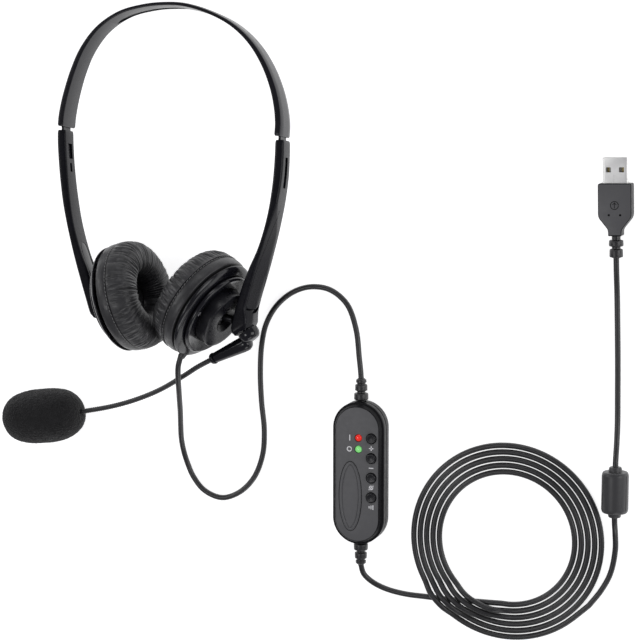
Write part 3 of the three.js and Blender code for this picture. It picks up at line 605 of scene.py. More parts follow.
def make_headband():
    """The strap: flat inside, crowned outside, swelling towards its two sockets."""
    line = curve_points([(x, y, 0) for x, y in BAND_ROUTE], 14)

    def section(fraction, _):
        end = min(fraction, 1 - fraction)
        swell = smooth_step(0.15, 0.0, end)
        tip = 0.35 * smooth_step(0.004, 0.0, end)
        half = (BAND_WIDTH + (BAND_END_WIDTH - BAND_WIDTH) * swell) / 2 - tip
        t = (BAND_THICK + (BAND_END_THICK - BAND_THICK) * smooth_step(0.4, 0.03, end)) / 2 - tip
        corners = [(-half, -t, 0.5), (half, -t, 0.5), (half, t - 0.5, 0.5), (0.6 * half, t, 2.0),
                   (-0.6 * half, t, 2.0), (-half, t - 0.5, 0.5)]
        return [(-y, x) for x, y in fillet(corners, 0.5, 4)]

    verts, faces = swept(line, section, up=Vector((0, 0, 1)))
    band = piece("headband_strap", verts, faces, HEAD, "headband", "black_gloss", "headband", look=BAND_LOOK)
    groove_line = [p for p in line if GROOVE_SPAN[0] < p.x < GROOVE_SPAN[1] and p.y > -30]

    def groove_section(fraction, _):
        half = GROOVE_HALF * math.sin(math.pi * min(0.5, 0.04 + 3.0 * min(fraction, 1 - fraction)))
        start, end = GROOVE_MIDDLE - half, GROOVE_MIDDLE + half
        low, high = GROOVE_LAYERS
        return [(-low, start), (-low, end), (-high, end), (-high, start)]

    groove = swept(groove_line, groove_section, up=Vector((0, 0, 1)))
    cut(band, tool(groove, HEAD, "headband", "black_gloss", SHADOW_GAP))


# -------------------------------------------------------------------- arms

ARM_TOP = {"right": -69.0, "left": -60.8}
ARM_OUTER = [(59.2, -87), (57.6, -97.5), (55.5, -107.5), (53.1, -117.5), (50.4, -127.5), (47.4, -137.5),
             (44.9, -145.5)]
ARM_LINES = {
    "right": {
        "outer": [(60.0, ARM_TOP["right"]), (59.9, -76)] + ARM_OUTER + [(43.3, -152), (43.0, -159.2)],
        "inner": [(55.5, ARM_TOP["right"]), (55.2, -77.6), (54.0, -92.2), (51.4, -107.3), (47.0, -121.5),
                  (42.4, -131.4), (38.1, -142.2), (34.7, -153.7), (33.1, -160.6), (34.0, -164.8)],
    },
    "left": {
        "outer": ([(61.0, ARM_TOP["left"]), (60.9, -68), (60.3, -77)] + ARM_OUTER
                  + [(43.0, -151.5), (41.6, -155.0)]),
        "inner": [(56.4, ARM_TOP["left"]), (56.2, -68), (55.6, -77.6), (54.1, -92.2), (51.6, -107.3),
                  (47.6, -121.5), (43.8, -131.4), (40.7, -142.2), (38.7, -149.1), (37.6, -156.0)],
    },
}
ARM_STATIONS = 120
STRIP_X = {"right": 57.48, "left": 58.28}                       # where the slider strip enters
WINDOW_X = {"right": (52.4, 57.3), "left": (53.0, 57.9)}        # how deep the window goes in


def spaced(points, count):
    """Points evenly spaced along a smooth line in the headset's plane."""
    line = curve_points([(x, y, 0) for x, y in points], 16)
    length = sum((b - a).length for a, b in zip(line, line[1:]))
    even = resample(line, length / count * 0.99999)
    return even[:count + 1]


def arm_height(y):
    return 5.5 + 1.0 * smooth_step(-72, -112, y)


def wedge(side, y, thick):
    """An arm's outer face: how far in its top edge sits, and the height where the slope ends."""
    h = arm_height(y)
    if side == "left":
        return 0.9, h - 0.9
    grow = smooth_step(-99, -119, y) * (1 - 0.5 * smooth_step(-150, -158, y))
    return 0.9 + grow * (min(4.4, 0.52 * thick) - 0.9), h - 0.9 - grow * (h + 1.4)


def make_arm(side):
    """A shell that is flat on its inner side and roof-shaped on its outer one."""
    sign = SIDES[side]["sign"]
    body = f"{side}_arm"
    outer = spaced(ARM_LINES[side]["outer"], ARM_STATIONS)
    inner = spaced(ARM_LINES[side]["inner"], ARM_STATIONS)
    rings = []
    for i, (a, b) in enumerate(zip(outer, inner)):
        across = b - a
        thick = across.length
        middle_y = (a.y + b.y) / 2
        h = arm_height(middle_y)
        ridge, wall = wedge(side, middle_y, thick)
        shrink = 0.3 * smooth_step(1.5, 0.0, i) + 0.8 * smooth_step(ARM_STATIONS - 2.5, ARM_STATIONS, i)
        corners = [(0, wall, 1.2), (ridge, h, 1.2), (thick, h, 1.4), (thick, -h, 1.4), (0, -h, 1.2)]
        ring = []
        for u, n in fillet(corners, 1.0, 5):
            u = shrink + u * (thick - 2 * shrink) / thick
            n = n * (h - shrink) / h
            p = a + across * (u / thick)
            ring.append((sign * p.x, p.y, n))
        rings.append(ring)
    arm = piece(f"{side}_arm_shell", *rings_to_mesh(rings), HEAD, body, "black_satin", body,
                look=ARM_LOOK, sharp=40)
    top = ARM_TOP[side]
    slide = Matrix.Translation((sign * STRIP_X[side], top, 0)) @ turn(-sign * SLIDE_LEAN, "Z")
    near, far = WINDOW_X[side]
    strip_slot = box_shape(-0.95, 0.95, -34, 4, -4.3, 4.3, 0.3)
    outer_slot = box_shape(sign * 58.0, sign * 62.5, top - 23.4, top - 8.4, -1.7, 1.7, 0.8)
    window = box_shape(sign * near, sign * far, top - 14.2, top - 6.6, -2.5, 2.5, 0.5)
    notch = box_shape(sign * (near - 0.5), sign * (far - 0.3), top - 20.8, top - 16.4, -1.1, 1.1, 0.4)
    holes = [(strip_slot, HEAD @ slide), (outer_slot, HEAD), (window, HEAD), (notch, HEAD)]
    cut(arm, *[tool(shape, where, body) for shape, where in holes])


COVER_SPAN = (-103.5, -151.0)
COVER_HALF = 5.0
INLAY_LINE = [(49.0, -117.2), (46.2, -125.4), (43.0, -133.5), (40.7, -142.2)]


def outer_skin(side, span, half, lift, depth, grow=0.0):
    """A skin over an arm's roof-shaped outer face, with a pointed top and a rounded foot."""
    sign = SIDES[side]["sign"]
    outer = spaced(ARM_LINES[side]["outer"], ARM_STATIONS)
    inner = spaced(ARM_LINES[side]["inner"], ARM_STATIONS)
    rings = []
    low, high = span[1] - grow, span[0] + grow
    steps = 60
    for k in range(steps + 1):
        y = high + (low - high) * k / steps
        i = next(j for j in range(len(outer) - 1) if outer[j + 1].y <= y)
        t = (outer[i].y - y) / max(1e-6, outer[i].y - outer[i + 1].y)
        a, b = outer[i].lerp(outer[i + 1], t), inner[i].lerp(inner[i + 1], t)
        across = (b - a)
        thick = across.length
        ridge, wall = wedge(side, (a.y + b.y) / 2, thick)
        h = arm_height(a.y)
        f = k / steps
        point = min(1.0, 0.08 + 1.5 * f) ** 0.7
        foot = max(0.05, 1 - max(0.0, (f - 0.93) / 0.07) ** 2) ** 0.5
        reach = min((half + grow) * point * foot, h - 0.5)
        profile = []
        for m in range(9):
            n = -reach + 2 * reach * m / 8
            profile.append((ridge * max(0.0, n - wall) / (h - wall), n))
        top_side = [(u - lift, n) for u, n in profile]
        under = [(u + depth, n) for u, n in reversed(profile)]
        rings.append([(sign * (a + across * (u / thick)).x, (a + across * (u / thick)).y, n)
                      for u, n in top_side + under])
    return rings_to_mesh(rings)


def follow(line, inset, thick, width, side, edge=0.35):
    """A thin skin that follows a line on an arm's face, with rounded ends and edges."""
    sign = SIDES[side]["sign"]
    path = [(p.x, p.y) for p in curve_points([(x, y, 0) for x, y in line], 8)]
    total = len(path) - 1
    rings = []
    for i, (x, y) in enumerate(path):
        before, after = path[max(i - 1, 0)], path[min(i + 1, total)]
        along = (Vector(after) - Vector(before)).normalized()
        normal = Vector((along.y, -along.x))
        t = 2 * i / total - 1
        half = max(0.12, width / 2 * (1 - abs(t) ** 5) ** 0.42)
        ring = []
        for a, n in fillet([(0, -half), (thick, -half), (thick, half), (0, half)], edge, 3):
            p = Vector((x, y)) - normal * (inset + a)
            ring.append((sign * p.x, p.y, n))
        rings.append(ring)
    return rings_to_mesh(rings)


def make_arm_trim():
    """The right arm's outer cover and the left arm's inner inlay, each in its own shallow bed."""
    arm = bpy.data.objects["right_arm_shell"]
    bed = outer_skin("right", (COVER_SPAN[0], COVER_SPAN[1] - 2.2), COVER_HALF, 2.0, 1.4, 0.12)
    cut(arm, tool(bed, HEAD, "right_arm", "black_gloss"))
    cover = outer_skin("right", COVER_SPAN, COVER_HALF, 0.12, 1.3)
    piece("right_arm_cover_skin", *cover, HEAD, "right_arm", "black_gloss", "right_arm_cover",
          look=ARM_LOOK, sharp=50)
    arm = bpy.data.objects["left_arm_shell"]
    bed = follow(INLAY_LINE, -1.2, 2.4, 8.2, "left", 0.2)
    cut(arm, tool(bed, HEAD, "left_arm", "black_gloss"))
    inlay = follow(INLAY_LINE, 0.05, 1.0, 7.3, "left")
    piece("left_arm_inlay_skin", *inlay, HEAD, "left_arm", "black_gloss", "left_arm_inlay")


# --------------------------------------------------------------- ear cups

RING_FRONT, RING_BACK = -11.2, -5.4
CUP_RADIUS = 27.0
BALL_RADIUS, NECK_RADIUS = 3.6, 1.7
LINER_OUTER, LINER_INNER = 4.9, 3.9
SOCKET_RADIUS = 5.2
SOCKET_MOUTH = math.radians(48)
GLAND_HEIGHT = -4.2
CREASE_SETS = ((58, 1.0, 0.0), (37, 0.9, 4.1), (83, 0.55, 8.7))      # creases round the ring, depth, seed
STITCHES = 88


def creases(angle, v, seed):
    """Gathers from the seam to the ear hole: rounded folds with sharp valleys, which come and go."""
    c, s = math.cos(angle), math.sin(angle)
    deepest = 0.0
    for count, weight, shift in CREASE_SETS:
        drift = 0.9 * noise.noise(Vector((c * 2.6 + seed, s * 2.6, v * 2.2 + shift)))
        u = (count * angle / (2 * math.pi) + drift) % 1.0
        valley = 1 - math.sin(math.pi * u) ** 0.55
        here = 0.5 + 0.95 * noise.noise(Vector((c * 5.5 + shift, s * 5.5 + seed, v * 2.4)))
        deepest = max(deepest, weight * valley * min(1.0, max(0.0, here)))
    return deepest


PAD_CENTRE, PAD_HALF = 18.25, 9.0
PAD_THICK = 10.4
CREASE_DEPTH = 1.7


def pad_point(a):
    """The pad's section as (radius, height): a runs from the outer seam over the front to the hole."""
    out, front = math.cos(a), math.sin(a)
    r = PAD_CENTRE + PAD_HALF * math.copysign(abs(out) ** 0.8, out)
    if front >= 0:
        return r, RING_FRONT - 0.75 - PAD_THICK * front ** 0.85
    return r, RING_FRONT - 0.75 + 0.45 * abs(front) ** 0.6


def make_cushion(side, seed):
    """The padded ring: leatherette gathered over foam, pulled in at its seam and round the ear hole."""
    where = cup_frame(side)
    sides, loops = 696, 60
    verts, faces = [], []
    for k in range(loops):
        a = 2 * math.pi * k / loops
        r0, h0 = pad_point(a)
        r1, h1 = pad_point(a + 0.02)
        tangent = Vector((r1 - r0, h1 - h0)).normalized()
        out = Vector((-tangent.y, tangent.x))
        if out.dot(Vector((r0 - PAD_CENTRE, h0 - RING_FRONT + 5))) < 0:
            out = -out
        gather = smooth_step(0.0, 0.2, math.sin(a)) * (0.75 + 0.25 * abs(math.cos(a)))
        for i in range(sides):
            angle = 2 * math.pi * i / sides
            c, s = math.cos(angle), math.sin(angle)
            patch = 0.62 + 0.9 * noise.noise(Vector((c * 1.2, s * 1.2, seed)))
            calm = 0.45 + 0.75 * min(1.0, max(0.0, patch))
            depth = CREASE_DEPTH * gather * calm * creases(angle, a / math.pi, seed) if gather else 0.0
            swell = 0.3 * noise.noise(Vector((c * 1.8, s * 1.8, a + seed)))
            r = r0 + out.x * (swell - depth)
            h = h0 + out.y * (swell - depth)
            verts.append((r * c, r * s, h))
    for k in range(loops):
        for i in range(sides):
            j, l = (i + 1) % sides, (k + 1) % loops
            faces.append((k * sides + i, k * sides + j, l * sides + j, l * sides + i))
    made = piece(f"{side}_ear_pad", verts, faces, where, f"{side}_cup", "leatherette", f"{side}_cushion",
                 sharp=180)
    return made


def make_stitches(side):
    """Short stitches round the seam between pad and ring."""
    width = 2 * math.pi / STITCHES * 0.6
    stitches = []
    for k in range(STITCHES):
        angle = 2 * math.pi * k / STITCHES
        line = []
        for t in (-0.5, -0.2, 0.2, 0.5):
            a = angle + width * t
            r = CUP_RADIUS + 0.12 + 0.14 * (1 - 4 * t * t)
            line.append(Vector((r * math.cos(a), r * math.sin(a), RING_FRONT + 0.25 + 0.12 * t)))
        stitches.append(swept(line, lambda *_: circle(0.15, 6)))
    piece(f"{side}_seam_stitches", *joined(stitches), cup_frame(side), f"{side}_cup", "leatherette",
          look=THREAD)


def make_cup(side, seed):
    where = cup_frame(side)
    body = f"{side}_cup"
    make_cushion(side, seed)
    make_stitches(side)
    ring = turned([(20.2, RING_FRONT), (26.7, RING_FRONT, 0.5), (27.15, -9.6, 1.2), (27.2, -7.4, 1.2),
                   (26.5, RING_BACK, 0.7), (23.8, RING_BACK), (23.8, -3.9), (20.2, -3.9)], 128, 0.3)
    ring_piece = piece(f"{side}_pad_ring", *ring, where, body, "leatherette", f"{side}_cushion_ring")
    shell = turned([(6.8, -3.0), (22.0, -3.0), (24.4, -3.2), (25.0, -3.7), (26.5, -3.7, 0.3),
                    (26.45, -3.1, 0.4), (25.6, -2.2, 1.2), (24.0, -1.7, 1.2), (22.4, -1.5), (6.8, -1.5)],
                   128, 0.25)
    shell_piece = piece(f"{side}_shell", *shell, where, body, "black_gloss", f"{side}_back_shell")
    radius, top = SIDES[side]["hub"]
    inner = radius + 0.3
    disc = turned([(inner, -1.2), (21.5, -1.2, 0.3), (22.0, -0.6, 0.4), (21.9, 0.6, 0.7), (21.1, 1.2, 0.8),
                   (19.6, 0.75, 0.8), (17.0, 0.2, 1.0), (inner, -0.3)], 144, 0.2)
    piece(f"{side}_disc", *disc, where, body, "black_gloss", f"{side}_back_disc")
    socket = meridian(SOCKET_RADIUS, SOCKET_MOUTH, math.pi, 14)[:-1]
    funnel = socket[0][0] + (top - socket[0][1]) * math.tan(SOCKET_MOUTH)
    hub = turned([(0, -6.4), (6.5, -6.4), (6.5, -1.2), (radius, -1.2), (radius, top - 0.2, 0.6),
                  (radius - 1.4, top, 0.5), (funnel, top)] + socket + [(0, -SOCKET_RADIUS)], 96, 0.4)
    piece(f"{side}_hub_boss", *hub, where, body, "black_satin", f"{side}_hub")
    head = turned([(0, 0.1), (1.25, 0.1), (1.25, 0.45, 0.3), (0.8, 0.75, 0.2), (0.28, 0.8), (0.28, 0.45),
                   (0, 0.45)], 32, 0.1)
    piece(f"{side}_screw_head", *moved(head, 17.9, 1.3), where, body, "steel", f"{side}_cup_screw")
    if side == "right":
        bore = slab(circle(2.35, 24), [(0, 22.2), (0, 34)])
        bore_at = where @ Matrix.Translation((0, 0, GLAND_HEIGHT)) @ turn(-90, "X")
        for target in (ring_piece, shell_piece):
            cut(target, tool(bore, bore_at, body, "leatherette"))
        gland = turned([(0, 0), (2.1, 0), (2.0, 3.0, 0.4), (1.75, 5.6, 0.4), (1.5, 5.9), (0, 5.9)], 32, 0.2)
        gland_at = aimed(where, (0, 22.6, GLAND_HEIGHT), (0, 30, GLAND_HEIGHT))
        piece("cord_gland_sleeve", *gland, gland_at, body, "cord_rubber", "cord_gland")


def make_ball_joint(side):
    where = ball_frame(side)
    reach = SIDES[side]["stud"] - 0.3
    ball = meridian(BALL_RADIUS, math.pi, math.asin(NECK_RADIUS / BALL_RADIUS), 20)[1:]
    foot = [(NECK_RADIUS, reach - 1.4, 0.6), (3.0, reach, 0.2), (0, reach)]
    stud = turned([(0, -BALL_RADIUS)] + ball + foot, 48, 0.3)
    piece(f"{side}_stud", *stud, where, f"{side}_arm", "steel", f"{side}_ball_stud", look=DARK_STEEL)
    outer, inner = (meridian(r, math.pi, SOCKET_MOUTH, 16)[1:] for r in (LINER_OUTER, LINER_INNER))
    liner = turned([(0, -LINER_OUTER)] + outer + inner[::-1] + [(0, -LINER_INNER)], 48, 0.0)
    piece(f"{side}_liner", *liner, where @ turn(-SIDES[side]["tilt"], "X"), f"{side}_liner", "black_satin",
          f"{side}_ball_liner")


# -------------------------------------------------------------------- boom

BOOM_PIVOT = Vector((39.0, -162.1, -1.5))
BOOM_AXIS = Vector((math.cos(math.radians(-55.7)), math.sin(math.radians(-55.7)), 0))
BOOM_ROOT = Vector((40.2, -167.0, -2.4))
BOOM_NOSE = Vector((20.6, -175.2, -5.4))
BOOM_ROUTE = [
    (18.0, -176.3, -5.9), (9.5, -180.1, -8.6), (1.3, -184.4, -11.6), (-14, -191.8, -16.3),
    (-29.4, -197.2, -19.6), (-43, -200.6, -21.6), (-57, -203.0, -22.4), (-66, -204.4, -22.6),
]
FOAM_AT = Vector((-81.1, -205.7, -22.6))
FOAM_RADIUS, FOAM_HALF = 14.1, 21.8
FOAM_BLUNTNESS = 2.6
FOAM_MOUTH_Z, FOAM_MOUTH_RADIUS, FOAM_MOUTH_DEPTH = 20.4, 3.2, 1.2
TUBE_RADIUS, TUBE_RIPPLE, TUBE_PITCH = 1.27, 0.11, 1.25


def make_boom():
    boss = turned([(0, 0.05), (5.3, 0.05, 0.2), (5.3, 2.8, 1.6), (4.0, 5.0, 1.6), (0, 5.5)], 64, 0.6)
    base = piece("boom_pivot_housing", *boss, aimed(HEAD, BOOM_PIVOT, BOOM_PIVOT + BOOM_AXIS), "boom",
                 "black_satin", "boom_base", look=LOOKS["black_gloss"])
    length = (BOOM_NOSE - BOOM_ROOT).length
    horn = turned([(0, -0.4), (2.6, -0.1, 1.0), (3.9, 1.9, 1.8), (3.9, 5.5, 1.0), (3.1, length * 0.72, 2.0),
                   (2.65, length, 0.3), (0, length)], 48, 1.0)
    combine(base, piece("horn", *horn, aimed(HEAD, BOOM_ROOT, BOOM_NOSE), "boom", "black_satin"), "UNION")
    away = (Vector(BOOM_ROUTE[0]) - BOOM_NOSE).normalized()
    collar = turned([(0, 0.3), (2.95, 0.3, 0.3), (2.9, 1.2, 0.2), (2.5, 2.3, 0.4), (1.4, 2.45), (0, 2.45)],
                    48, 0.2)
    piece("boom_end_collar", *collar, aimed(HEAD, BOOM_NOSE, BOOM_NOSE + away), "boom", "black_gloss",
          "boom_collar")
    line = curve_points(BOOM_ROUTE, 40)
    sides = 14

    def spiral(_, run):
        ring = []
        for k in range(sides):
            a = 2 * math.pi * k / sides
            r = TUBE_RADIUS + TUBE_RIPPLE * math.sin(2 * math.pi * run / TUBE_PITCH + a)
            ring.append((r * math.cos(a), r * math.sin(a)))
        return ring

    even = resample(line, 0.3)
    verts, faces = swept(even, spiral)
    piece("boom_gooseneck", verts, faces, HEAD, "boom", "cord_rubber", "boom_tube", sharp=60)
    make_mic_foam()


def make_mic_foam():
    """The foam windscreen: a blunt capsule with open-cell pores pressed into it and a mouth for the boom."""
    mesh = bmesh.new()
    bmesh.ops.create_icosphere(mesh, subdivisions=6, radius=1.0)
    for v in mesh.verts:
        d = v.co.normalized()
        h = d.z
        t = abs(h) ** 0.9
        r = FOAM_RADIUS * (1 - t ** FOAM_BLUNTNESS) ** (1 / FOAM_BLUNTNESS)
        z = FOAM_HALF * math.copysign(t, h)
        flat = Vector((d.x, d.y, 0))
        flat = flat.normalized() if flat.length > 1e-6 else Vector((0, 0, 0))
        p = Vector((flat.x * r, flat.y * r, z))
        soft = 0.35 * noise.noise(p * 0.11)
        pores = noise.voronoi(p * 0.95)[0]
        pit = -0.34 * max(0.0, 1 - pores[0] * 2.4)
        grain = 0.16 * noise.noise(p * 2.3)
        v.co = p + p.normalized() * (soft + pit + grain)
        from_axis = v.co.to_2d().length
        if z > FOAM_MOUTH_Z and from_axis < FOAM_MOUTH_RADIUS:
            v.co.z -= FOAM_MOUTH_DEPTH * (1 - from_axis / FOAM_MOUTH_RADIUS)
    towards = Vector(BOOM_ROUTE[-1])
    where = aimed(HEAD, FOAM_AT, towards)
    verts = [tuple(v.co) for v in mesh.verts]
    faces = [tuple(v.index for v in f.verts) for f in mesh.faces]
    mesh.free()
    made = piece("mic_windscreen", verts, faces, where, "boom", "mic_foam", "mic_foam", sharp=180)


# ----------------------------------------------------------- control box

BUTTONS = ["volume_up", "volume_down", "mic_mute", "sound_mute"]
BUTTON_X, BUTTON_TOP_Y, BUTTON_PITCH = 7.4, 18.4, 9.9
BOX_WIDTH, BOX_LENGTH = 26.6, 72
LEDS = {"led_red": (0.7, 18.4), "led_green": (0.7, 12.7)}
TRIM_AT = (-3.4, -11.2)


def button_y(i):
    return BUTTON_TOP_Y - i * BUTTON_PITCH


def make_control_box():
    outline = stadium(BOX_WIDTH, BOX_LENGTH, 32)
    base = slab(outline, [(1.6, 0.0), (0.7, 0.25), (0.2, 0.8), (0.0, 1.6), (0, 5.4), (0.25, 5.6)])
    base_piece = piece("box_base", *base, BOX, "right_cup", "black_satin", "controller_base",
                       look=CASE_BLACK)
    cover = slab(outline, [(0.35, 5.9), (0.1, 6.1), (0, 6.4), (0, 9.2), (0.08, 9.5), (0.3, 9.7),
                           (0.7, 9.75), (0.95, 9.85), (1.75, 11.3), (1.85, 11.6), (2.0, 11.82),
                           (2.25, 11.95), (2.6, 12.0)])
    cover_piece = piece("box_cover", *cover, BOX, "right_cup", "black_satin", "controller_cover",
                        look=CASE_BLACK)
    holes = [moved(slab(circle(2.8, 40), [(0, 8), (0, 14)]), BUTTON_X, button_y(i))
             for i in range(len(BUTTONS))]
    holes += [moved(slab(circle(1.95, 32), [(0, 8), (0, 14)]), *at) for at in LEDS.values()]
    holes.append(moved(slab(ellipse(12.1, 35.6), [(0, 11.5), (0, 14)]), *TRIM_AT))
    cut(cover_piece, *[tool(h, BOX, "right_cup") for h in holes])
    for target in (base_piece, cover_piece):
        for sign in (-1, 1):
            bore = slab(circle(2.6, 32), [(0, 30), (0, 40)])
            where = BOX @ Matrix.Translation((0, 0, 5)) @ turn(-90 * sign, "X")
            cut(target, tool(bore, where, "right_cup"))
    ring = slab(ellipse(11.5, 35), [(0.1, 11.7), (0, 11.9), (0.0, 12.2), (0.15, 12.4), (0.4, 12.48),
                                    (1.2, 12.45), (1.4, 12.3), (1.5, 12.0), (1.6, 11.95), (1.7, 12.02)])
    # the trim oval wears the same lighter grey, partly painted sheen of the overhead light
    piece("box_trim_oval", *moved(ring, *TRIM_AT), BOX, "right_cup", "black_satin", "controller_trim_ring",
          look=PLATE_AND_SHEEN)
    # the cover's upward faces get the lighter grey, partly painted sheen of the overhead light
    lighter_top_with_sheen(cover_piece, 11.9)
    make_buttons()
    for name, (x, y) in LEDS.items():
        lens = turned([(0, 6.4), (1.7, 6.4), (1.7, 11.7, 0.2), (1.45, 12.2, 0.5), (0, 12.65)], 40, 0.3)
        piece(f"{name}_lens", *moved(lens, x, y), BOX, "right_cup", name, name)
    make_marks()
    make_reliefs()


def lighter_top_with_sheen(target, height):
    """Gives a piece's upward faces, above a height in mm, a lighter grey: partly the plate's own finish,
    partly painted sheen of the overhead light.
    """
    target.data.materials.append(PLATE_AND_SHEEN)
    for face in target.data.polygons:
        if face.center.z > height * MM and face.normal.z > 0.9:
            face.material_index = 1


def make_buttons():
    for i, name in enumerate(BUTTONS):
        cap = turned([(0, 7.2), (3.1, 7.2), (3.1, 8.4), (2.5, 8.4), (2.5, 12.75, 0.5), (2.1, 13.1, 0.4),
                      (1.0, 12.95, 0.8), (0, 12.85)], 48, 0.2)
        piece(f"{name}_cap", *moved(cap, BUTTON_X, button_y(i)), BOX, f"{name}_button", "black_satin",
              f"{name}_button")


def flat_mark(strokes, width, z):
    """Printed strokes: each is a list of points, drawn as a thin flat ribbon."""
    half = width / 2
    section = [(-half, -0.03), (half, -0.03), (half, 0.03), (-half, 0.03)]
    return joined(swept([Vector((x, y, z)) for x, y in stroke], lambda *_: section, up=Vector((0, 0, 1)))
                  for stroke in strokes)


def arc(cx, cy, r, start, end, count=10):
    return [(cx + r * math.cos(math.radians(start + (end - start) * k / count)),
             cy + r * math.sin(math.radians(start + (end - start) * k / count))) for k in range(count + 1)]


def make_marks():
    """Plain printed signs by the buttons and lamps: plus, minus, a struck ring, bars, a dash and a ring."""
    signs = [
        [[(-1.1, 0), (1.1, 0)], [(0, -1.1), (0, 1.1)]],
        [[(-1.2, 0), (1.2, 0)]],
        [arc(0, 0, 0.9, 0, 350), [(-1.2, -1.1), (1.2, 1.1)]],
        [[(-1.0, -0.6), (-1.0, 0.6)], [(0, -0.9), (0, 0.9)], [(1.0, -1.2), (1.0, 1.2)]],
    ]
    strokes = []
    for i, sign in enumerate(signs):
        cy = button_y(i) - 4.9
        strokes += [[(x + BUTTON_X, y + cy) for x, y in s] for s in sign]
    red, green = LEDS.values()
    strokes.append([(red[0] - 4.4, red[1] - 1.5), (red[0] - 4.4, red[1] + 1.5)])
    strokes.append([(x + green[0] - 4.6, y + green[1]) for x, y in arc(0, 0, 1.1, 0, 350, 20)])
    piece("box_marks", *flat_mark(strokes, 0.5, 12.04), BOX, "right_cup", "black_satin", look=PRINT)


RELIEF_RINGS = [(2.3, 5.9, 3.6), (6.9, 10.2, 3.1), (11.0, 12.7, 2.65)]
BOOT_RINGS = [(0.2, 4.3, 3.25), (5.4, 8.6, 3.5)]
PLUG_SHELL_SPAN = (28.5, 47.7)
BEAD_AT = (152.5, -75.9, 6.5)


def ringed(rings, neck, length, tip):
    """A moulded sleeve with rounded rings, from z = 0 outwards."""
    points = [(0, 0), (neck, 0)]
    for low, high, radius in rings:
        points += [(neck, low, 0.2), (radius, low + 0.15, 0.6), (radius - 0.1, high - 0.15, 0.6),
                   (neck, high, 0.2)]
    return turned(points + [(tip, length, 0.3), (0, length)], 48, 0.2)


def make_reliefs():
    for name, y, sign in (("inlet", -40.6, 1), ("outlet", -108.8, -1)):
        shape = ringed(RELIEF_RINGS, 2.1, 13.2, 1.75)
        where = TABLE @ Matrix.Translation((24.3, y, 5)) @ turn(-90 * sign, "X")
        piece(f"box_{name}_relief", *shape, where, "right_cup", "cord_rubber", f"controller_{name}_relief")


# ------------------------------------------------------------ bead and plug


def make_bead():
    half = 10
    shape = turned([(0, -12.3), (2.9, -12.3, 0.3), (3.3, -10.6, 0.5), (3.3, -half, 0.1), (5.9, -half, 0.5),
                    (6.5, -half + 1.4, 1.2), (6.5, half - 1.4, 1.2), (5.9, half, 0.5), (3.3, half, 0.1),
                    (3.3, 10.6, 0.5), (2.9, 12.3, 0.3), (0, 12.3)], 72, 0.4)
    where = TABLE @ Matrix.Translation(BEAD_AT) @ turn(90, "X")
    bead = piece("bead_case", *shape, where, "right_cup", "black_satin", "ferrite_bead", look=BEAD_GREY)
    groove = slab(fillet([(6.2, -8.6), (7.2, -8.6), (7.2, 8.6), (6.2, 8.6)], 0.1), [(0, -0.2), (0, 0.2)])
    for angle in (25, 205):
        cut(bead, tool(groove, where @ turn(angle, "Z") @ turn(90, "X"), "right_cup"))


def make_plug():
    grip_outline = fillet([(-3.2, 10.6, 0.4), (3.2, 10.6, 0.4), (3.2, 13.5, 1.5), (8, 19.5, 1.6),
                           (8, 35.5, 0.9), (-8, 35.5, 0.9), (-8, 19.5, 1.6), (-3.2, 13.5, 1.5)], 1.0, 6)
    grip = piece("plug_body", *slab(grip_outline, soft_edges(-3.95, 3.95, 0.55)), PLUG, "right_cup",
                 "black_satin", "plug_grip", look=CASE_BLACK)
    boot = ringed(BOOT_RINGS, 2.1, 11.5, 2.1)
    piece("plug_boot", *boot, PLUG @ turn(-90, "X"), "right_cup", "cord_rubber", "plug_grip")
    pocket = box_shape(-6.3, 6.3, 28.1, 37, -2.55, 2.55, 0.2)
    dimples = [moved(slab(circle(0.55, 24), [(0, 3.4), (0, 5)]), x, 20.6) for x in (-2.7, 2.7)]
    cut(grip, *[tool(shape, PLUG, "right_cup") for shape in [pocket] + dimples])
    # the grip's upward faces get the lighter grey, partly painted sheen of the overhead light
    lighter_top_with_sheen(grip, 7.85)
    low, high = PLUG_SHELL_SPAN
    where = PLUG @ turn(-90, "X")
    outside = slab(rounded_rectangle(12, 4.5, 0.7),
                   [(0.15, low), (0, low + 0.2), (0, high - 0.15), (0.15, high)])
    shell = piece("plug_metal_shell", *outside, where, "right_cup", "nickel", "plug_shell")
    hollow = slab(rounded_rectangle(11, 3.5, 0.4), [(0, low + 0.5), (0, high + 1)])
    windows = [box_shape(x - 1.2, x + 1.2, high - 7.0, high - 4.6, -4, 4, 0.2) for x in (-3.1, 3.1)]
    latch = box_shape(-0.7, 0.7, high - 11.4, high - 8.4, 2.0, 4, 0.3)
    cut(shell, tool(hollow, where, "right_cup", "nickel"),
        *[tool(shape, PLUG, "right_cup", "nickel") for shape in windows + [latch]])
    tongue = box_shape(-5.2, 5.2, low + 1.6, high - 1, -1.45, -0.05, 0.2)
    piece("plug_insert", *tongue, PLUG, "right_cup", "contact_plastic", "plug_tongue")
    contacts = joined(box_shape(x - 0.5, x + 0.5, high - 9, high - 1.6, -0.04, 0.12, 0.1)
                      for x in (-3.5, -1.0, 1.0, 3.5))
    piece("plug_contacts", *contacts, PLUG, "right_cup", "contact_plastic", look=GOLD)
    strokes = [arc(0, 25.2, 1.9, 0, 352, 24), [(0, 23.9), (0, 26.4)],
               [(-0.9, 25.5), (0, 26.5), (0.9, 25.5)]]
    piece("plug_mark", *flat_mark(strokes, 0.35, 4.0), PLUG, "right_cup", "black_satin", look=SHADOW_GAP)


# ------------------------------------------------------------- everything

make_headband()
for side_name, seed in (("left", 3.0), ("right", 11.0)):
    make_arm(side_name)
    make_cup(side_name, seed)
    make_ball_joint(side_name)
make_arm_trim()
make_boom()
make_control_box()
make_bead()
make_plug()

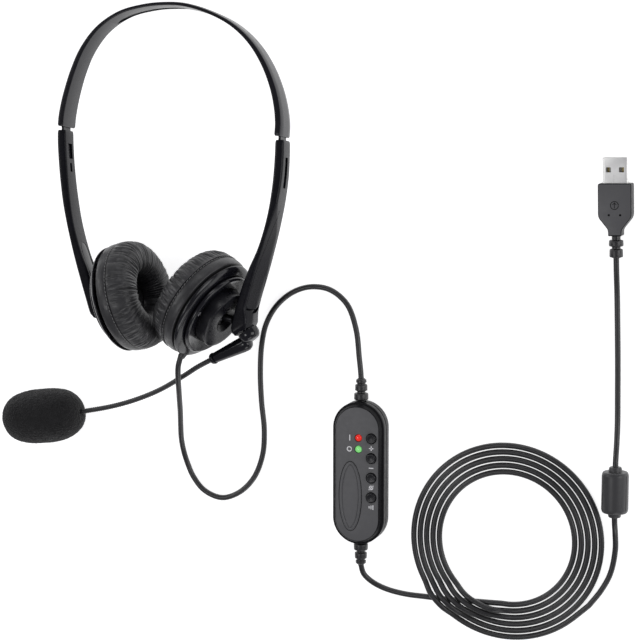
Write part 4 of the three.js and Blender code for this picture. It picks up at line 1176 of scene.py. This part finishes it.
for name in frame["nodes"]:
    kept = frame["nodes"][name]
    if kept.hide_render:
        continue
    slot_name = next(s["material_slot"] for s in frame["record"]["subparts"] if s["node"] == name)
    kept.data.materials.clear()
    kept.data.materials.append(LOOKS[slot_name])

# ------------------------------------------------------------------ studio


def make_floor():
    mesh = bpy.data.meshes.new("floor")
    r = 3.0
    mesh.from_pydata([(-r, -r, 0), (r, -r, 0), (r, r, 0), (-r, r, 0)], [], [(0, 1, 2, 3)])
    floor = bpy.data.objects.new("floor", mesh)
    floor.location.z = -0.0002
    mesh.materials.append(material("floor", (0.8, 0.8, 0.8), 0.9, spread=0.01,
                                   grain=[("noise", 60, 0.02, EVEN)],
                                   Emission_Color=(1, 1, 1, 1), Emission_Strength=0.8))
    scene.collection.objects.link(floor)


def area_light(name, at, aim, size, power):
    data = bpy.data.lights.new(name, "AREA")
    data.shape = "RECTANGLE"
    data.size, data.size_y = size
    data.energy = power
    lamp = bpy.data.objects.new(name, data)
    lamp.location = at
    lamp.rotation_euler = (Vector(aim) - Vector(at)).to_track_quat("-Z", "Y").to_euler()
    scene.collection.objects.link(lamp)


def softbox(name, direction, distance, size, radiance):
    """A panel of even brightness that faces the object from a direction."""
    at = AIM + Vector(direction).normalized() * distance
    area_light(name, at, AIM, size, 4 * size[0] * size[1] * radiance)


MIRROR = (-VIEW_FROM.x, -VIEW_FROM.y, VIEW_FROM.z)      # the flat tops mirror this side to the camera

make_floor()
softbox("overhead", MIRROR, 1.3, (0.34, 0.34), 4.5)
softbox("right", (1.3, 0.15, 0.75), 1.5, (0.7, 0.9), 2.2)
softbox("left", (-1.2, 0.5, 0.8), 1.5, (0.5, 0.8), 2.6)
softbox("near", (0.6, -1.3, 0.6), 1.5, (0.9, 0.4), 2.4)
softbox("far", (0.1, 1.3, 0.75), 1.5, (1.0, 0.35), 2.0)
world = bpy.data.worlds.new("studio")
scene.world = world
world.use_nodes = True
world.node_tree.nodes["Background"].inputs["Color"].default_value = (0.92, 0.91, 1.0, 1)
world.node_tree.nodes["Background"].inputs["Strength"].default_value = 0.22
scene.view_settings.view_transform = "Standard"
